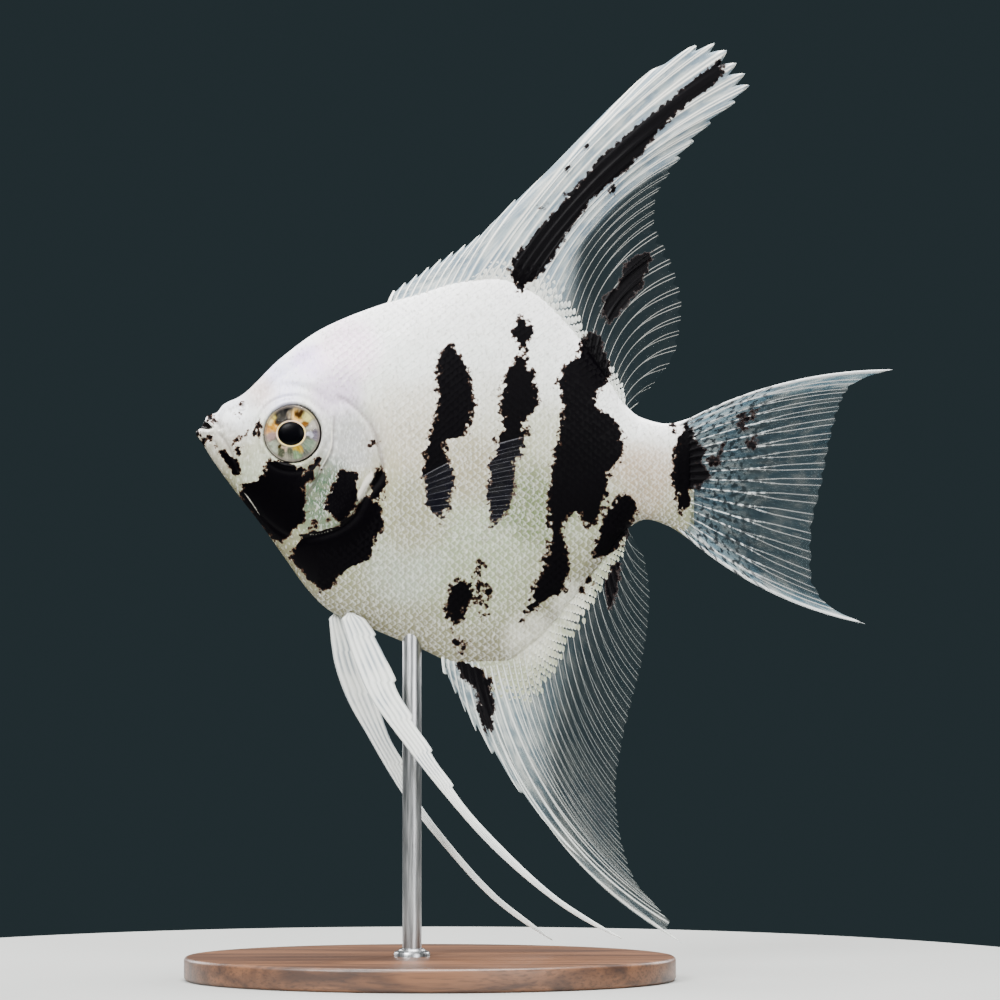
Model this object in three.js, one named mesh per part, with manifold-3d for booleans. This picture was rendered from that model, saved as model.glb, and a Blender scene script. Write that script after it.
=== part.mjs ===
// A life-size freshwater angelfish (Pterophyllum scalare, marbled form) on a small display stand.
//
// Millimetres, +Z up. The fish faces -X, its left side faces -Y, and the plane y = 0 is its midline.
// The origin is the centre of the underside of the stand's base, which rests on z = 0.
//
// Every piece is a loft of ribs. A rib is a line of points on the left side and the same line on the
// right side: up the flank for the body, and out along a ray for a fin.

import * as THREE from "three";
import { mergeVertices } from "three/addons/utils/BufferGeometryUtils.js";
import Module from "manifold-3d";

// ---------------------------------------------------------------- driving dimensions

const GAP = 0.3; // clearance between neighbouring solids
const LEFT = -1; // the side that faces -Y
const RIGHT = 1;

// The back, from lower lip over the snout and nape to the root of the tail fin: [x, z].
const BACK = [
  [-39, 91.7], [-38.2, 92.1], [-37.6, 93.2], [-37, 94.2], [-35.6, 94.6], [-34.4, 96], [-31.6, 97.4],
  [-25, 103.6], [-18, 108.6], [-10, 112], [-2, 114.5], [5, 116.6], [11, 117.3], [17, 115.2],
  [23.5, 109], [28.5, 102.2], [32.5, 96], [35, 93.9], [39.5, 92.8], [44, 93.9],
];

// The belly, from lower lip over the breast and vent to the root of the tail fin: [x, z].
const BELLY = [
  [-39, 90.6], [-38.2, 89.7], [-36.3, 86.7], [-33.3, 82.5], [-28, 75.6], [-25, 71.4], [-19.7, 64.2],
  [-16.6, 61.4], [-9, 58.2], [-1, 54.9], [5, 52.6], [12, 52.6], [18, 56.2], [24, 63.2], [29, 69.8], [33, 75.2],
  [36, 76.7], [39.5, 75.7], [44, 72.8],
];

// Half the body's thickness along its length: [x, half thickness].
const HALF_WIDTH = [
  [-39, 0.8], [-37.5, 1.7], [-35, 2.2], [-32, 3.1], [-27, 4.6], [-21, 5.8], [-14, 6.7], [-5, 6.9],
  [5, 6.4], [15, 5.4], [24, 4.1], [31, 3.1], [36, 2.6], [40, 2], [44, 1.1],
];

// How blunt a body section is at its back and belly: 0.5 is an ellipse, and more is a finer keel.
const KEEL = [[-39, 0.5], [-30, 0.55], [-15, 0.68], [20, 0.7], [34, 0.55], [44, 0.5]];
const KEEL_EDGE = 0.35; // half the thickness that is left on the keel itself
const BODY_RIBS = 33;
const BODY_RIB_POINTS = 10;

// turn is how far, in radians, the eye looks forward, as the cheek does.
const EYE = { x: -23, z: 91, radius: 4.7, halfDepth: 1.8, out: 4.8, turn: 0.18, around: 20, rings: 10 };

// Cuts between the named parts of the body, as curves in the side view: [x, z].
const HEAD_CUT = [
  [-14, 114], [-13.6, 110], [-13, 103], [-12.2, 96.3], [-9.3, 91.6], [-7.7, 86.4], [-8.7, 81.6],
  [-12, 77.5], [-16.7, 74.5], [-21.5, 72.4], [-26, 71],
];
const JAW_CUT = [[-41, 92.3], [-38, 92], [-35.6, 91.5], [-33.2, 87.6], [-31.8, 83.6], [-33, 79]];
const TAIL_CUT = [[32.6, 99], [33.2, 90], [33.2, 80], [32.4, 73]];

// A gill cover: the side plate in front of the head cut, from the cheek's edge back to that cut.
const GILL_COVER = [
  [-12.6, 97], [-16, 92], [-17.2, 87], [-19.4, 82.5], [-21.2, 78], [-20.6, 74.6], [-14, 73],
  [-6, 76], [-3, 86], [-7, 94],
];
const GILL_COVER_INSIDE = 3.4; // distance of its inner face from the midline

// Fins. roots is the line the rays grow from, and the first webs gaps between rays sink between them.
// Each edge entry is one ray on the fin's outline, [ray number, tip x, tip z, bow], where bow is how
// far the ray bends, as a share of its length. notch is how deep the webs are cut in at the edge.
const DORSAL = {
  rays: 39,
  webs: 20,
  roots: [[-7.4, 112], [1, 114.6], [9, 115.6], [17, 113.4], [24, 106], [29.5, 98.6], [33, 94.6]],
  edge: [
    [0, -6.2, 115, 0.03], [4, 1.8, 120.3, 0.04], [7, 8.2, 124.3, 0.04], [9, 14.2, 130.2, 0.04],
    [10, 18.8, 134.2, 0.04], [11, 36.8, 151.8, 0.022], [12, 44.2, 156, 0.045], [13, 47.5, 156.4, 0.055],
    [15, 51.2, 153, 0.065], [17, 53.4, 149.3, 0.075], [19, 46.8, 142.8, 0.09], [21, 41.8, 137, 0.1],
    [24, 37.8, 130, 0.12], [26, 37.6, 126.7, 0.13], [29, 40.3, 120, 0.15], [32, 42.1, 112.8, 0.16],
    [35, 41.2, 105.4, 0.15], [38, 34.6, 96, 0.04],
  ],
  notch: [[0, 0.3], [10, 0.13], [12, 0.04], [20, 0.05], [38, 0.03]],
  sway: 2.4,
};
const ANAL = {
  rays: 38,
  webs: 12,
  roots: [[1.8, 55], [8, 54], [14, 55], [19.5, 59], [25, 66], [29.5, 71.6], [32.8, 75.8]],
  edge: [
    [0, 2.2, 51.3, -0.02], [1, 4.3, 47.8, -0.03], [3, 7.7, 41.5, -0.04], [4, 10.3, 37.8, -0.04],
    [5, 14.8, 31.5, -0.05], [6, 21.7, 23.5, -0.07], [7, 42.2, 6.1, -0.124], [8, 39.9, 10, -0.115],
    [10, 37.5, 12.8, -0.09], [12, 34.9, 15.6, -0.09], [14, 33, 19.7, -0.09], [17, 31.5, 25.8, -0.09],
    [20, 31, 31.7, -0.09], [23, 31.8, 38.3, -0.09], [26, 33.5, 45.8, -0.09], [29, 35.2, 52.5, -0.09],
    [32, 36.3, 59.2, -0.09], [34, 36.6, 64.2, -0.09], [36, 35.8, 70, -0.09], [37, 33.8, 73.6, -0.04],
  ],
  notch: [[0, 0.3], [5, 0.16], [8, 0.03], [20, 0.02], [37, 0.02]],
  sway: -2,
};
const CAUDAL = {
  rays: 18,
  webs: 17,
  roots: [[40.6, 92.2], [41.6, 88.6], [42, 84], [41.6, 79.4], [40.4, 75.9]],
  edge: [
    [0, 77.2, 101.8, 0.065], [1, 71.4, 99.8, 0.06], [2, 69.7, 98.3, 0.05], [4, 68.3, 95.3, 0.03],
    [6, 67, 90.7, 0.01], [9, 65.5, 83, 0], [12, 63.7, 73.8, -0.01], [14, 63.7, 67.5, -0.02],
    [15, 64.7, 64.7, -0.03], [16, 66.7, 62.3, -0.05], [17, 72.7, 59.3, -0.072],
  ],
  notch: [[0, 0.02], [17, 0.02]],
  sway: 1.6,
};
// Half the thickness of a fin along a ray, from base to tip, and on the web between two rays.
const FIN = { base: 0.55, tip: 0.28, web: 0.25, steps: 4 };

// A pelvic fin is a narrow blade drawn out into a long feeler. Each row crosses it at one height,
// [z, front edge x, rear edge x], and two close rows make a step where one of its shorter rays ends.
const PELVIC_LEFT = [
  [61.4, -14.8, -11.5], [56.7, -13.6, -8.8], [51.8, -11.6, -6.4], [46.8, -8.9, -4.9],
  [41.9, -5.7, -2.1], [39.4, -3.9, -0.4], [38.7, -3.4, -0.9], [34.5, -0.3, 2.6], [32.8, 1.1, 3.7],
  [32.3, 1.4, 3.4], [27.1, 6, 8], [22.1, 10.8, 12.5], [17.2, 16.5, 17.9], [12.2, 23.2, 24.4],
  [9.8, 27.4, 28.5], [7.8, 31.7, 32.1],
];
const PELVIC_RIGHT = [
  [61.1, -16.9, -14.2], [56.6, -16.6, -12.6], [51.6, -15.6, -10.7], [47.9, -14.3, -9.4],
  [47.2, -13.6, -9.1], [41.5, -11.1, -7.6], [35.2, -8, -4.8], [34.7, -7.6, -5.1], [31.3, -5.6, -3.4],
  [26.3, -2.1, -0.1], [21.2, 2.3, 3.9], [16.2, 6.8, 8.3], [11.1, 12, 13.3], [8.6, 15, 16.5],
  [5.5, 20.2, 20.8],
];
// from is a root's distance from the midline, and splay is how much further out the tip stands.
const PELVIC = { from: 1.9, splay: 6.5, base: 0.75, tip: 0.3, furrow: 0.75, points: 6 };

// A pectoral fin is a clear fan that stands off the flank behind the gill cover.
const PECTORAL = {
  rays: 12,
  webs: 0,
  roots: [[-6.4, 80.6], [-6.6, 78.4], [-5.8, 75.8]],
  edge: [
    [0, 15.4, 90.4, 0.05], [3, 18, 86, 0.03], [6, 17.8, 81, 0], [9, 15, 76.2, -0.03],
    [11, 10.5, 73.4, -0.05],
  ],
  notch: [[0, 0.02], [11, 0.02]],
  base: 0.4, tip: 0.27, web: 0.25, steps: 3,
  from: 7.1, // distance of its root from the midline
  rise: 5.2, // how much further out its far edge stands
};

const BASE = { radiusX: 41, radiusY: 28, height: 4, chamfer: 0.7, segments: 48 };
const ROD = { x: -3, radius: 1.6, socket: 2.6, top: 64, segments: 20 };

const COLOURS = {
  skin: 0xe4e6dc, cheek: 0xe6e2e6, finRay: 0xe3e6e4, feeler: 0xf2f2ec, eye: 0x1c160e,
  wood: 0x3a2417, steel: 0xb4b8bb,
};

// ---------------------------------------------------------------- curves and lofts

// A smooth line through [x, y] pairs that never swings past them (monotone cubic).
function lineThrough(pairs) {
  const x = pairs.map((p) => p[0]);
  const y = pairs.map((p) => p[1]);
  const last = x.length - 1;
  const rise = x.slice(1).map((v, i) => (y[i + 1] - y[i]) / (v - x[i]));
  const slope = x.map((_, i) => {
    if (i === 0 || i === last) return rise[Math.min(i, last - 1)];
    const product = rise[i - 1] * rise[i];
    return product > 0 ? (2 * product) / (rise[i - 1] + rise[i]) : 0;
  });
  return (at) => {
    const clamped = THREE.MathUtils.clamp(at, x[0], x[last]);
    const i = Math.min(last - 1, Math.max(0, x.findIndex((v) => v > clamped) - 1));
    const j = clamped >= x[last] ? last - 1 : i;
    const h = x[j + 1] - x[j];
    const t = (clamped - x[j]) / h;
    const t2 = t * t;
    const t3 = t2 * t;
    return (
      y[j] * (2 * t3 - 3 * t2 + 1) + y[j + 1] * (3 * t2 - 2 * t3) +
      h * slope[j] * (t3 - 2 * t2 + t) + h * slope[j + 1] * (t3 - t2)
    );
  };
}

// A closed geometry from ribs, each { left: [Vector3], right: [Vector3] } with equal counts.
function loft(ribs) {
  const count = ribs[0].left.length;
  const positions = [];
  ribs.forEach(({ left, right }) => [...left, ...right].forEach((p) => positions.push(p.x, p.y, p.z)));
  const index = [];
  const quad = (a, b, c, d) => index.push(a, b, c, a, c, d);
  const at = (rib, side, k) => rib * 2 * count + (side === LEFT ? 0 : count) + k;
  for (let r = 0; r + 1 < ribs.length; r++) {
    for (let k = 0; k + 1 < count; k++) {
      quad(at(r, LEFT, k), at(r + 1, LEFT, k), at(r + 1, LEFT, k + 1), at(r, LEFT, k + 1));
      quad(at(r, RIGHT, k), at(r, RIGHT, k + 1), at(r + 1, RIGHT, k + 1), at(r + 1, RIGHT, k));
    }
    const end = count - 1;
    quad(at(r, LEFT, end), at(r + 1, LEFT, end), at(r + 1, RIGHT, end), at(r, RIGHT, end));
    quad(at(r, LEFT, 0), at(r, RIGHT, 0), at(r + 1, RIGHT, 0), at(r + 1, LEFT, 0));
  }
  const lastRib = ribs.length - 1;
  for (let k = 0; k + 1 < count; k++) {
    quad(at(0, LEFT, k), at(0, LEFT, k + 1), at(0, RIGHT, k + 1), at(0, RIGHT, k));
    quad(at(lastRib, LEFT, k), at(lastRib, RIGHT, k), at(lastRib, RIGHT, k + 1), at(lastRib, LEFT, k + 1));
  }
  const geometry = new THREE.BufferGeometry();
  geometry.setAttribute("position", new THREE.Float32BufferAttribute(positions, 3));
  geometry.setIndex(index);
  return geometry;
}

// ---------------------------------------------------------------- solids

const wasm = await Module();
wasm.setup();

function solid(geometry) {
  const bare = geometry.clone();
  ["normal", "uv"].forEach((name) => bare.deleteAttribute(name));
  const merged = mergeVertices(bare, 1e-4);
  const closed = (triVerts) => new wasm.Manifold(new wasm.Mesh({
    numProp: 3, vertProperties: new Float32Array(merged.attributes.position.array), triVerts,
  }));
  const faces = new Uint32Array(merged.index.array);
  const shape = closed(faces);
  return shape.volume() > 0 ? shape : closed(faces.reverse()); // turns its faces outward
}

function geometryOf(shape) {
  const mesh = shape.getMesh();
  const positions = new Float32Array(mesh.numVert * 3);
  for (let i = 0; i < mesh.numVert; i++) {
    positions.set(mesh.vertProperties.subarray(i * mesh.numProp, i * mesh.numProp + 3), i * 3);
  }
  const geometry = new THREE.BufferGeometry();
  geometry.setAttribute("position", new THREE.BufferAttribute(positions, 3));
  geometry.setIndex(new THREE.BufferAttribute(new Uint32Array(mesh.triVerts), 1));
  geometry.computeVertexNormals();
  return geometry;
}

// A closed outline in the side view, given as [x, z], pushed through from y = from to y = to.
function prism(outline, from, to) {
  const shape = new THREE.Shape(outline.map(([x, z]) => new THREE.Vector2(x, z)));
  const geometry = new THREE.ExtrudeGeometry(shape, { depth: to - from, bevelEnabled: false });
  geometry.rotateX(Math.PI / 2);
  geometry.translate(0, to, 0);
  return solid(geometry);
}

// A smooth run of points through [x, z] pairs.
function smooth(pairs, steps, closed = false) {
  const curve = new THREE.CatmullRomCurve3(
    pairs.map(([x, z]) => new THREE.Vector3(x, 0, z)), closed, "centripetal",
  );
  return curve.getPoints(steps).map((p) => [p.x, p.z]);
}

// A thin blade that follows a curve in the side view and parts the body along it.
function blade(pairs, steps = 22) {
  const line = smooth(pairs, steps);
  const side = (sign) => line.map(([x, z], i) => {
    const [x0, z0] = line[Math.max(0, i - 1)];
    const [x1, z1] = line[Math.min(line.length - 1, i + 1)];
    const length = Math.hypot(x1 - x0, z1 - z0);
    return [x - (sign * GAP * (z1 - z0)) / 2 / length, z + (sign * GAP * (x1 - x0)) / 2 / length];
  });
  return prism([...side(1), ...side(-1).reverse()], -20, 20);
}

// ---------------------------------------------------------------- body

const back = lineThrough(BACK);
const belly = lineThrough(BELLY);
const halfWidth = lineThrough(HALF_WIDTH);
const keel = lineThrough(KEEL);

// Half the body's thickness at x, where s runs from -1 on the belly to 1 on the back.
function flank(x, s) {
  return Math.max(KEEL_EDGE, halfWidth(x) * (1 - s * s) ** keel(x));
}

// The whole body as one solid, swollen by grow on every side.
function wholeBody(grow) {
  const start = BACK[0][0];
  const length = BACK[BACK.length - 1][0] - start;
  const ribs = [];
  for (let r = 0; r < BODY_RIBS; r++) {
    const share = r / (BODY_RIBS - 1);
    const x = start + length * share ** 1.25; // ribs lie closer together on the face
    const middle = (back(x) + belly(x)) / 2;
    const half = (back(x) - belly(x)) / 2 + grow;
    const place = x + grow * (2 * share - 1);
    const side = (sign) => Array.from({ length: BODY_RIB_POINTS }, (_, k) => {
      const s = -Math.cos((Math.PI * k) / (BODY_RIB_POINTS - 1));
      return new THREE.Vector3(place, sign * (flank(x, s) + grow), middle + half * s);
    });
    ribs.push({ left: side(LEFT), right: side(RIGHT) });
  }
  return solid(loft(ribs));
}

const swollenBody = wholeBody(GAP);

function eyeBall(side, grow) {
  const ball = new THREE.SphereGeometry(1, EYE.around, EYE.rings);
  ball.rotateX(Math.PI / 2);
  ball.scale(EYE.radius + grow, EYE.halfDepth + grow, EYE.radius + grow);
  ball.rotateZ(side * EYE.turn);
  ball.translate(EYE.x, side * EYE.out, EYE.z);
  return solid(ball);
}

function gillPrism(side, scale) {
  const outline = smooth(GILL_COVER, 28, true).slice(0, -1);
  const cx = outline.reduce((sum, p) => sum + p[0], 0) / outline.length;
  const cz = outline.reduce((sum, p) => sum + p[1], 0) / outline.length;
  const sized = outline.map(([x, z]) => [cx + (x - cx) * scale, cz + (z - cz) * scale]);
  const inside = GILL_COVER_INSIDE + (scale < 1 ? GAP : 0);
  return side === LEFT ? prism(sized, -12, -inside) : prism(sized, inside, 12);
}

// The body's named parts: it is parted by blades, and the face gets its sockets and covers.
function bodyParts() {
  const parted = [HEAD_CUT, JAW_CUT, TAIL_CUT].reduce(
    (body, cut) => body.subtract(blade(cut)), wholeBody(0),
  );
  const middleX = (shape) => (shape.boundingBox().min[0] + shape.boundingBox().max[0]) / 2;
  const pieces = parted.decompose().filter((p) => p.volume() > 1).sort((a, b) => middleX(a) - middleX(b));
  const [jaw, face, trunk, tailStalk] = pieces;
  let head = face;
  const parts = { lower_jaw: jaw, trunk, tail_stalk: tailStalk };
  for (const [name, side] of [["left", LEFT], ["right", RIGHT]]) {
    parts[`gill_cover_${name}`] = face.intersect(gillPrism(side, 0.965));
    parts[`eye_${name}`] = eyeBall(side, 0);
    head = head.subtract(gillPrism(side, 1)).subtract(eyeBall(side, GAP));
  }
  parts.head = head;
  return parts;
}

// ---------------------------------------------------------------- fins

// One rib per ray and one per web between two rays. place(out) gives the fin's own sideways position,
// where out runs from 0 at the root to 1 at the tip.
function fin({ rays, webs, roots, edge, notch }, thick, place) {
  const rootLine = new THREE.CatmullRomCurve3(roots.map(([x, z]) => new THREE.Vector3(x, 0, z)));
  const [tipX, tipZ, bow] = [1, 2, 3].map((column) => lineThrough(edge.map((e) => [e[0], e[column]])));
  const notchOf = lineThrough(notch);
  const ribs = [];
  for (let half = 0; half <= 2 * (rays - 1); half++) {
    const ray = half / 2;
    const onWeb = half % 2 === 1;
    if (onWeb && ray > webs) continue;
    const root = rootLine.getPoint(ray / (rays - 1));
    const tip = new THREE.Vector3(tipX(ray), 0, tipZ(ray));
    const chord = tip.clone().sub(root);
    const bend = new THREE.Vector3(-chord.z, 0, chord.x).multiplyScalar(2 * bow(ray));
    const control = root.clone().lerp(tip, 0.5).add(bend);
    const path = new THREE.QuadraticBezierCurve3(root, control, tip);
    const reach = onWeb ? 1 - notchOf(ray) : 1;
    const side = (sign) => Array.from({ length: thick.steps + 1 }, (_, k) => {
      const out = (k / thick.steps) * reach;
      const p = path.getPoint(out);
      const onRay = THREE.MathUtils.lerp(thick.base, thick.tip, out);
      return new THREE.Vector3(p.x, place(out) + sign * (onWeb ? thick.web : onRay), p.z);
    });
    ribs.push({ left: side(LEFT), right: side(RIGHT) });
  }
  return solid(loft(ribs));
}

// A fin on the midline sways to one side towards its tips.
function medianFin(data) {
  return fin(data, FIN, (out) => data.sway * out * out);
}

function pectoralFin(side) {
  return fin(PECTORAL, PECTORAL, (out) => side * (PECTORAL.from + PECTORAL.rise * out));
}

// Each rib crosses the blade, which is thinner along its edges and in every second furrow.
function pelvicFin(rows, side) {
  const top = rows[0][0];
  const bottom = rows[rows.length - 1][0];
  const ribs = rows.map(([z, frontX, rearX]) => {
    const out = (top - z) / (top - bottom);
    const y = side * (PELVIC.from + PELVIC.splay * Math.sin((out * Math.PI) / 2));
    const ridge = THREE.MathUtils.lerp(PELVIC.base, PELVIC.tip, out);
    const line = (sign) => Array.from({ length: PELVIC.points }, (_, k) => {
      const across = k / (PELVIC.points - 1);
      const half = k % 2 === 1 ? ridge : Math.max(PELVIC.tip, ridge * PELVIC.furrow);
      const onEdge = k === 0 || k === PELVIC.points - 1;
      return new THREE.Vector3(
        THREE.MathUtils.lerp(frontX, rearX, across), y + sign * (onEdge ? PELVIC.tip : half), z,
      );
    });
    return { left: line(LEFT), right: line(RIGHT) };
  });
  return solid(loft(ribs));
}

// ---------------------------------------------------------------- stand

function cylinder(radius, from, to, x, segments) {
  const geometry = new THREE.CylinderGeometry(radius, radius, to - from, segments);
  geometry.rotateX(Math.PI / 2);
  geometry.translate(x, 0, (from + to) / 2);
  return solid(geometry);
}

function standBase() {
  const { radiusX, radiusY, height, chamfer, segments } = BASE;
  const profile = [
    [0, 0], [radiusX - chamfer / 2, 0], [radiusX, chamfer / 2], [radiusX, height - chamfer],
    [radiusX - chamfer, height], [0, height],
  ].map(([r, z]) => new THREE.Vector2(r, z));
  const geometry = new THREE.LatheGeometry(profile, segments);
  geometry.rotateX(Math.PI / 2);
  geometry.scale(1, radiusY / radiusX, 1);
  const socket = cylinder(ROD.radius + GAP, height - ROD.socket, height + 1, ROD.x, ROD.segments);
  return solid(geometry).subtract(socket);
}

// The rod runs up into the belly, and its end is hollowed to the keel that it carries.
function standRod() {
  const foot = BASE.height - ROD.socket + GAP;
  return cylinder(ROD.radius, foot, ROD.top, ROD.x, ROD.segments).subtract(swollenBody);
}

// ---------------------------------------------------------------- the model

const fish = new THREE.Group();

function add(group, name, shape, colour, roughness, metalness = 0) {
  const material = new THREE.MeshStandardMaterial({ color: colour, roughness, metalness });
  const mesh = new THREE.Mesh(geometryOf(shape), material);
  mesh.name = name;
  group.add(mesh);
}

const largest = (shape) => shape.decompose().reduce((a, b) => (b.volume() > a.volume() ? b : a));
const offBody = (shape) => largest(shape.subtract(swollenBody));

for (const [name, shape] of Object.entries(bodyParts())) {
  const isEye = name.startsWith("eye");
  const isFace = name === "head" || name === "lower_jaw" || name.startsWith("gill");
  const colour = isEye ? COLOURS.eye : isFace ? COLOURS.cheek : COLOURS.skin;
  add(fish, name, shape, colour, isEye ? 0.08 : 0.38);
}
add(fish, "dorsal_fin", offBody(medianFin(DORSAL)), COLOURS.finRay, 0.4);
add(fish, "anal_fin", offBody(medianFin(ANAL)), COLOURS.finRay, 0.4);
add(fish, "tail_fin", offBody(medianFin(CAUDAL)), COLOURS.finRay, 0.4);
add(fish, "pelvic_fin_left", offBody(pelvicFin(PELVIC_LEFT, LEFT)), COLOURS.feeler, 0.4);
add(fish, "pelvic_fin_right", offBody(pelvicFin(PELVIC_RIGHT, RIGHT)), COLOURS.feeler, 0.4);
add(fish, "pectoral_fin_left", offBody(pectoralFin(LEFT)), COLOURS.finRay, 0.3);
add(fish, "pectoral_fin_right", offBody(pectoralFin(RIGHT)), COLOURS.finRay, 0.3);

const stand = new THREE.Group();
add(stand, "stand_base", standBase(), COLOURS.wood, 0.45);
add(stand, "stand_rod", standRod(), COLOURS.steel, 0.3, 1);

const model = new THREE.Group();
model.add(fish, stand);

export default model;
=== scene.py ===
import math

import bpy
import numpy as np
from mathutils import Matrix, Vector


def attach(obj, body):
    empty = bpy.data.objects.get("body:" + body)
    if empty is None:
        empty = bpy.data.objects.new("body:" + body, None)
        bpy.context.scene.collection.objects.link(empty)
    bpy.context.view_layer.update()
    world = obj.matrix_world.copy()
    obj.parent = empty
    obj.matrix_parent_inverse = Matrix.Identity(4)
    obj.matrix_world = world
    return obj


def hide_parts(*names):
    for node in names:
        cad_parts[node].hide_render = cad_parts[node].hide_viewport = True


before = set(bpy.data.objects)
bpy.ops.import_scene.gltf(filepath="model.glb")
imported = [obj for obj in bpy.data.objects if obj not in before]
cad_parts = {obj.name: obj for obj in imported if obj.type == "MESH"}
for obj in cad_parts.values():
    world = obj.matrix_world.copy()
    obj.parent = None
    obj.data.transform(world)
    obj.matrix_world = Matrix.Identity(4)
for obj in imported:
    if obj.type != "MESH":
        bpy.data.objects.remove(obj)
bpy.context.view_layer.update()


# ---------------------------------------------------------------------------------------------
# The studio. A pale round table top stands under large soft lamps, in front of plain slate air
# that lets the clear parts of the fins show. The camera looks level at the fish's left side.
# ---------------------------------------------------------------------------------------------
CAMERA_PLACE = (0.01167, -1.0, 0.080)
CAMERA_LENS = 216
CAMERA_SENSOR = 36
TABLE_RADIUS = 0.125
TABLE_THICKNESS = 0.012
AIR_STRENGTH = 0.3
EMBOSS_DEPTH = 0.0001
FISH_MIDDLE = Vector((0.01, 0, 0.085))
LAMPS = {
    "key": ((-0.55, -0.75, 0.75), 0.5, 27),
    "front": ((0.55, -0.95, 0.30), 0.6, 7),
    "top": ((0.05, -0.02, 0.95), 0.6, 32),
    "back_left": ((-0.70, 0.65, 0.40), 0.5, 9),
    "back_right": ((0.70, 0.65, 0.45), 0.5, 9),
}


class Signal:
    """A value on a shader's wire. Sums on it add Math nodes; node() adds any other node."""

    def __init__(self, tree, wire=None):
        self.tree = tree
        self.wire = wire

    def node(self, kind, settings=None, sockets=None, out=0):
        made = self.tree.nodes.new(kind)
        for name, value in (settings or {}).items():
            if name == "stops":
                for spare in range(len(value) - 2):
                    made.color_ramp.elements.new(0.5)
                for stop, (place, colour) in zip(made.color_ramp.elements, value):
                    stop.position = place
                    stop.color = colour
            else:
                setattr(made, name, value)
        for name, value in (sockets or {}).items():
            if isinstance(value, Signal):
                self.tree.links.new(value.wire, made.inputs[name])
            else:
                made.inputs[name].default_value = value
        return Signal(self.tree, made.outputs[out])

    def maths(self, operation, first, second=0.0):
        return self.node("ShaderNodeMath", {"operation": operation}, {0: first, 1: second})

    def __add__(self, other):
        return self.maths("ADD", self, other)

    def __radd__(self, other):
        return self.maths("ADD", other, self)

    def __sub__(self, other):
        return self.maths("SUBTRACT", self, other)

    def __rsub__(self, other):
        return self.maths("SUBTRACT", other, self)

    def __mul__(self, other):
        return self.maths("MULTIPLY", self, other)

    def __rmul__(self, other):
        return self.maths("MULTIPLY", other, self)

    def __truediv__(self, other):
        return self.maths("DIVIDE", self, other)

    def greater(self, other):
        return self.maths("MAXIMUM", self, other)

    def step(self, low, high):
        """0 below low, 1 above high, and a smooth rise between them."""
        span = {"Value": self, "From Min": low, "From Max": high}
        return self.node("ShaderNodeMapRange", {"interpolation_type": "SMOOTHSTEP"}, span)

    def blend(self, start, end):
        """The colour start where this value is 0, and end where it is 1."""
        return self.node("ShaderNodeMix", {"data_type": "RGBA"}, {0: self, 6: start, 7: end}, 2)

    def feed(self, shader, socket):
        self.tree.links.new(self.wire, shader.inputs[socket])

    def here(self):
        """The place on the piece, in its own metres."""
        return self.node("ShaderNodeTexCoord", out="Object")

    def read(self, label):
        """A number kept on each of the piece's points."""
        return self.node("ShaderNodeAttribute", {"attribute_name": label}, out="Fac")

    def stretched(self, scale):
        """This place, multiplied along its three directions."""
        return self.node("ShaderNodeMapping", {}, {0: self, 3: scale})

    def noise(self, where, scale, detail=2.0, **more):
        sockets = {"Vector": where, "Scale": scale, "Detail": detail, **more}
        return self.node("ShaderNodeTexNoise", {}, sockets)

    def emboss(self, shader, strength):
        """Raises and dents the shader's surface by this value."""
        sockets = {"Height": self, "Strength": strength, "Distance": EMBOSS_DEPTH}
        self.node("ShaderNodeBump", {}, sockets).feed(shader, "Normal")


def rgb(red, green, blue):
    """A colour as a paint chart gives it, 0 to 255, for a shader."""
    parts = [value / 255 for value in (red, green, blue)]
    straight = [v / 12.92 if v <= 0.04045 else ((v + 0.055) / 1.055) ** 2.4 for v in parts]
    return (*straight, 1)


def finish_of(name, **constants):
    """A new material, its shader with the constants set, and a Signal to build its nodes from."""
    material = bpy.data.materials.new(name)
    material.use_nodes = True
    shader = material.node_tree.nodes["Principled BSDF"]
    for socket, value in constants.items():
        shader.inputs[socket.replace("_", " ")].default_value = value
    return material, shader, Signal(material.node_tree)


bpy.ops.object.select_all(action="DESELECT")
bpy.ops.object.camera_add(location=CAMERA_PLACE, rotation=(math.pi / 2, 0, 0))
camera = bpy.context.object
camera.data.lens = CAMERA_LENS
camera.data.sensor_width = CAMERA_SENSOR
bpy.context.scene.camera = camera

for lamp_name, (place, size, watts) in LAMPS.items():
    bpy.ops.object.light_add(type="AREA", location=place)
    lamp = bpy.context.object
    lamp.name = "lamp_" + lamp_name
    lamp.data.shape = "DISK"
    lamp.data.size = size
    lamp.data.energy = watts
    lamp.visible_camera = False
    lamp.rotation_euler = (FISH_MIDDLE - Vector(place)).to_track_quat("-Z", "Y").to_euler()

air = bpy.data.worlds.new("slate_air")
air.use_nodes = True
air.node_tree.nodes["Background"].inputs["Color"].default_value = rgb(74, 92, 98)
air.node_tree.nodes["Background"].inputs["Strength"].default_value = AIR_STRENGTH
bpy.context.scene.world = air

bpy.ops.mesh.primitive_cylinder_add(
    vertices=256, radius=TABLE_RADIUS, depth=TABLE_THICKNESS, location=(0, 0, -TABLE_THICKNESS / 2)
)
table_top = bpy.context.object
table_top.name = "table_top"
table_paint, table_shader, table_wires = finish_of("table_paint", Roughness=0.6)
table_cloud = table_wires.noise(table_wires.here(), 9.0)
table_cloud.step(0.3, 0.7).blend(rgb(156, 157, 154), rgb(163, 164, 161)).feed(
    table_shader, "Base Color"
)
table_top.data.materials.append(table_paint)


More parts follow.
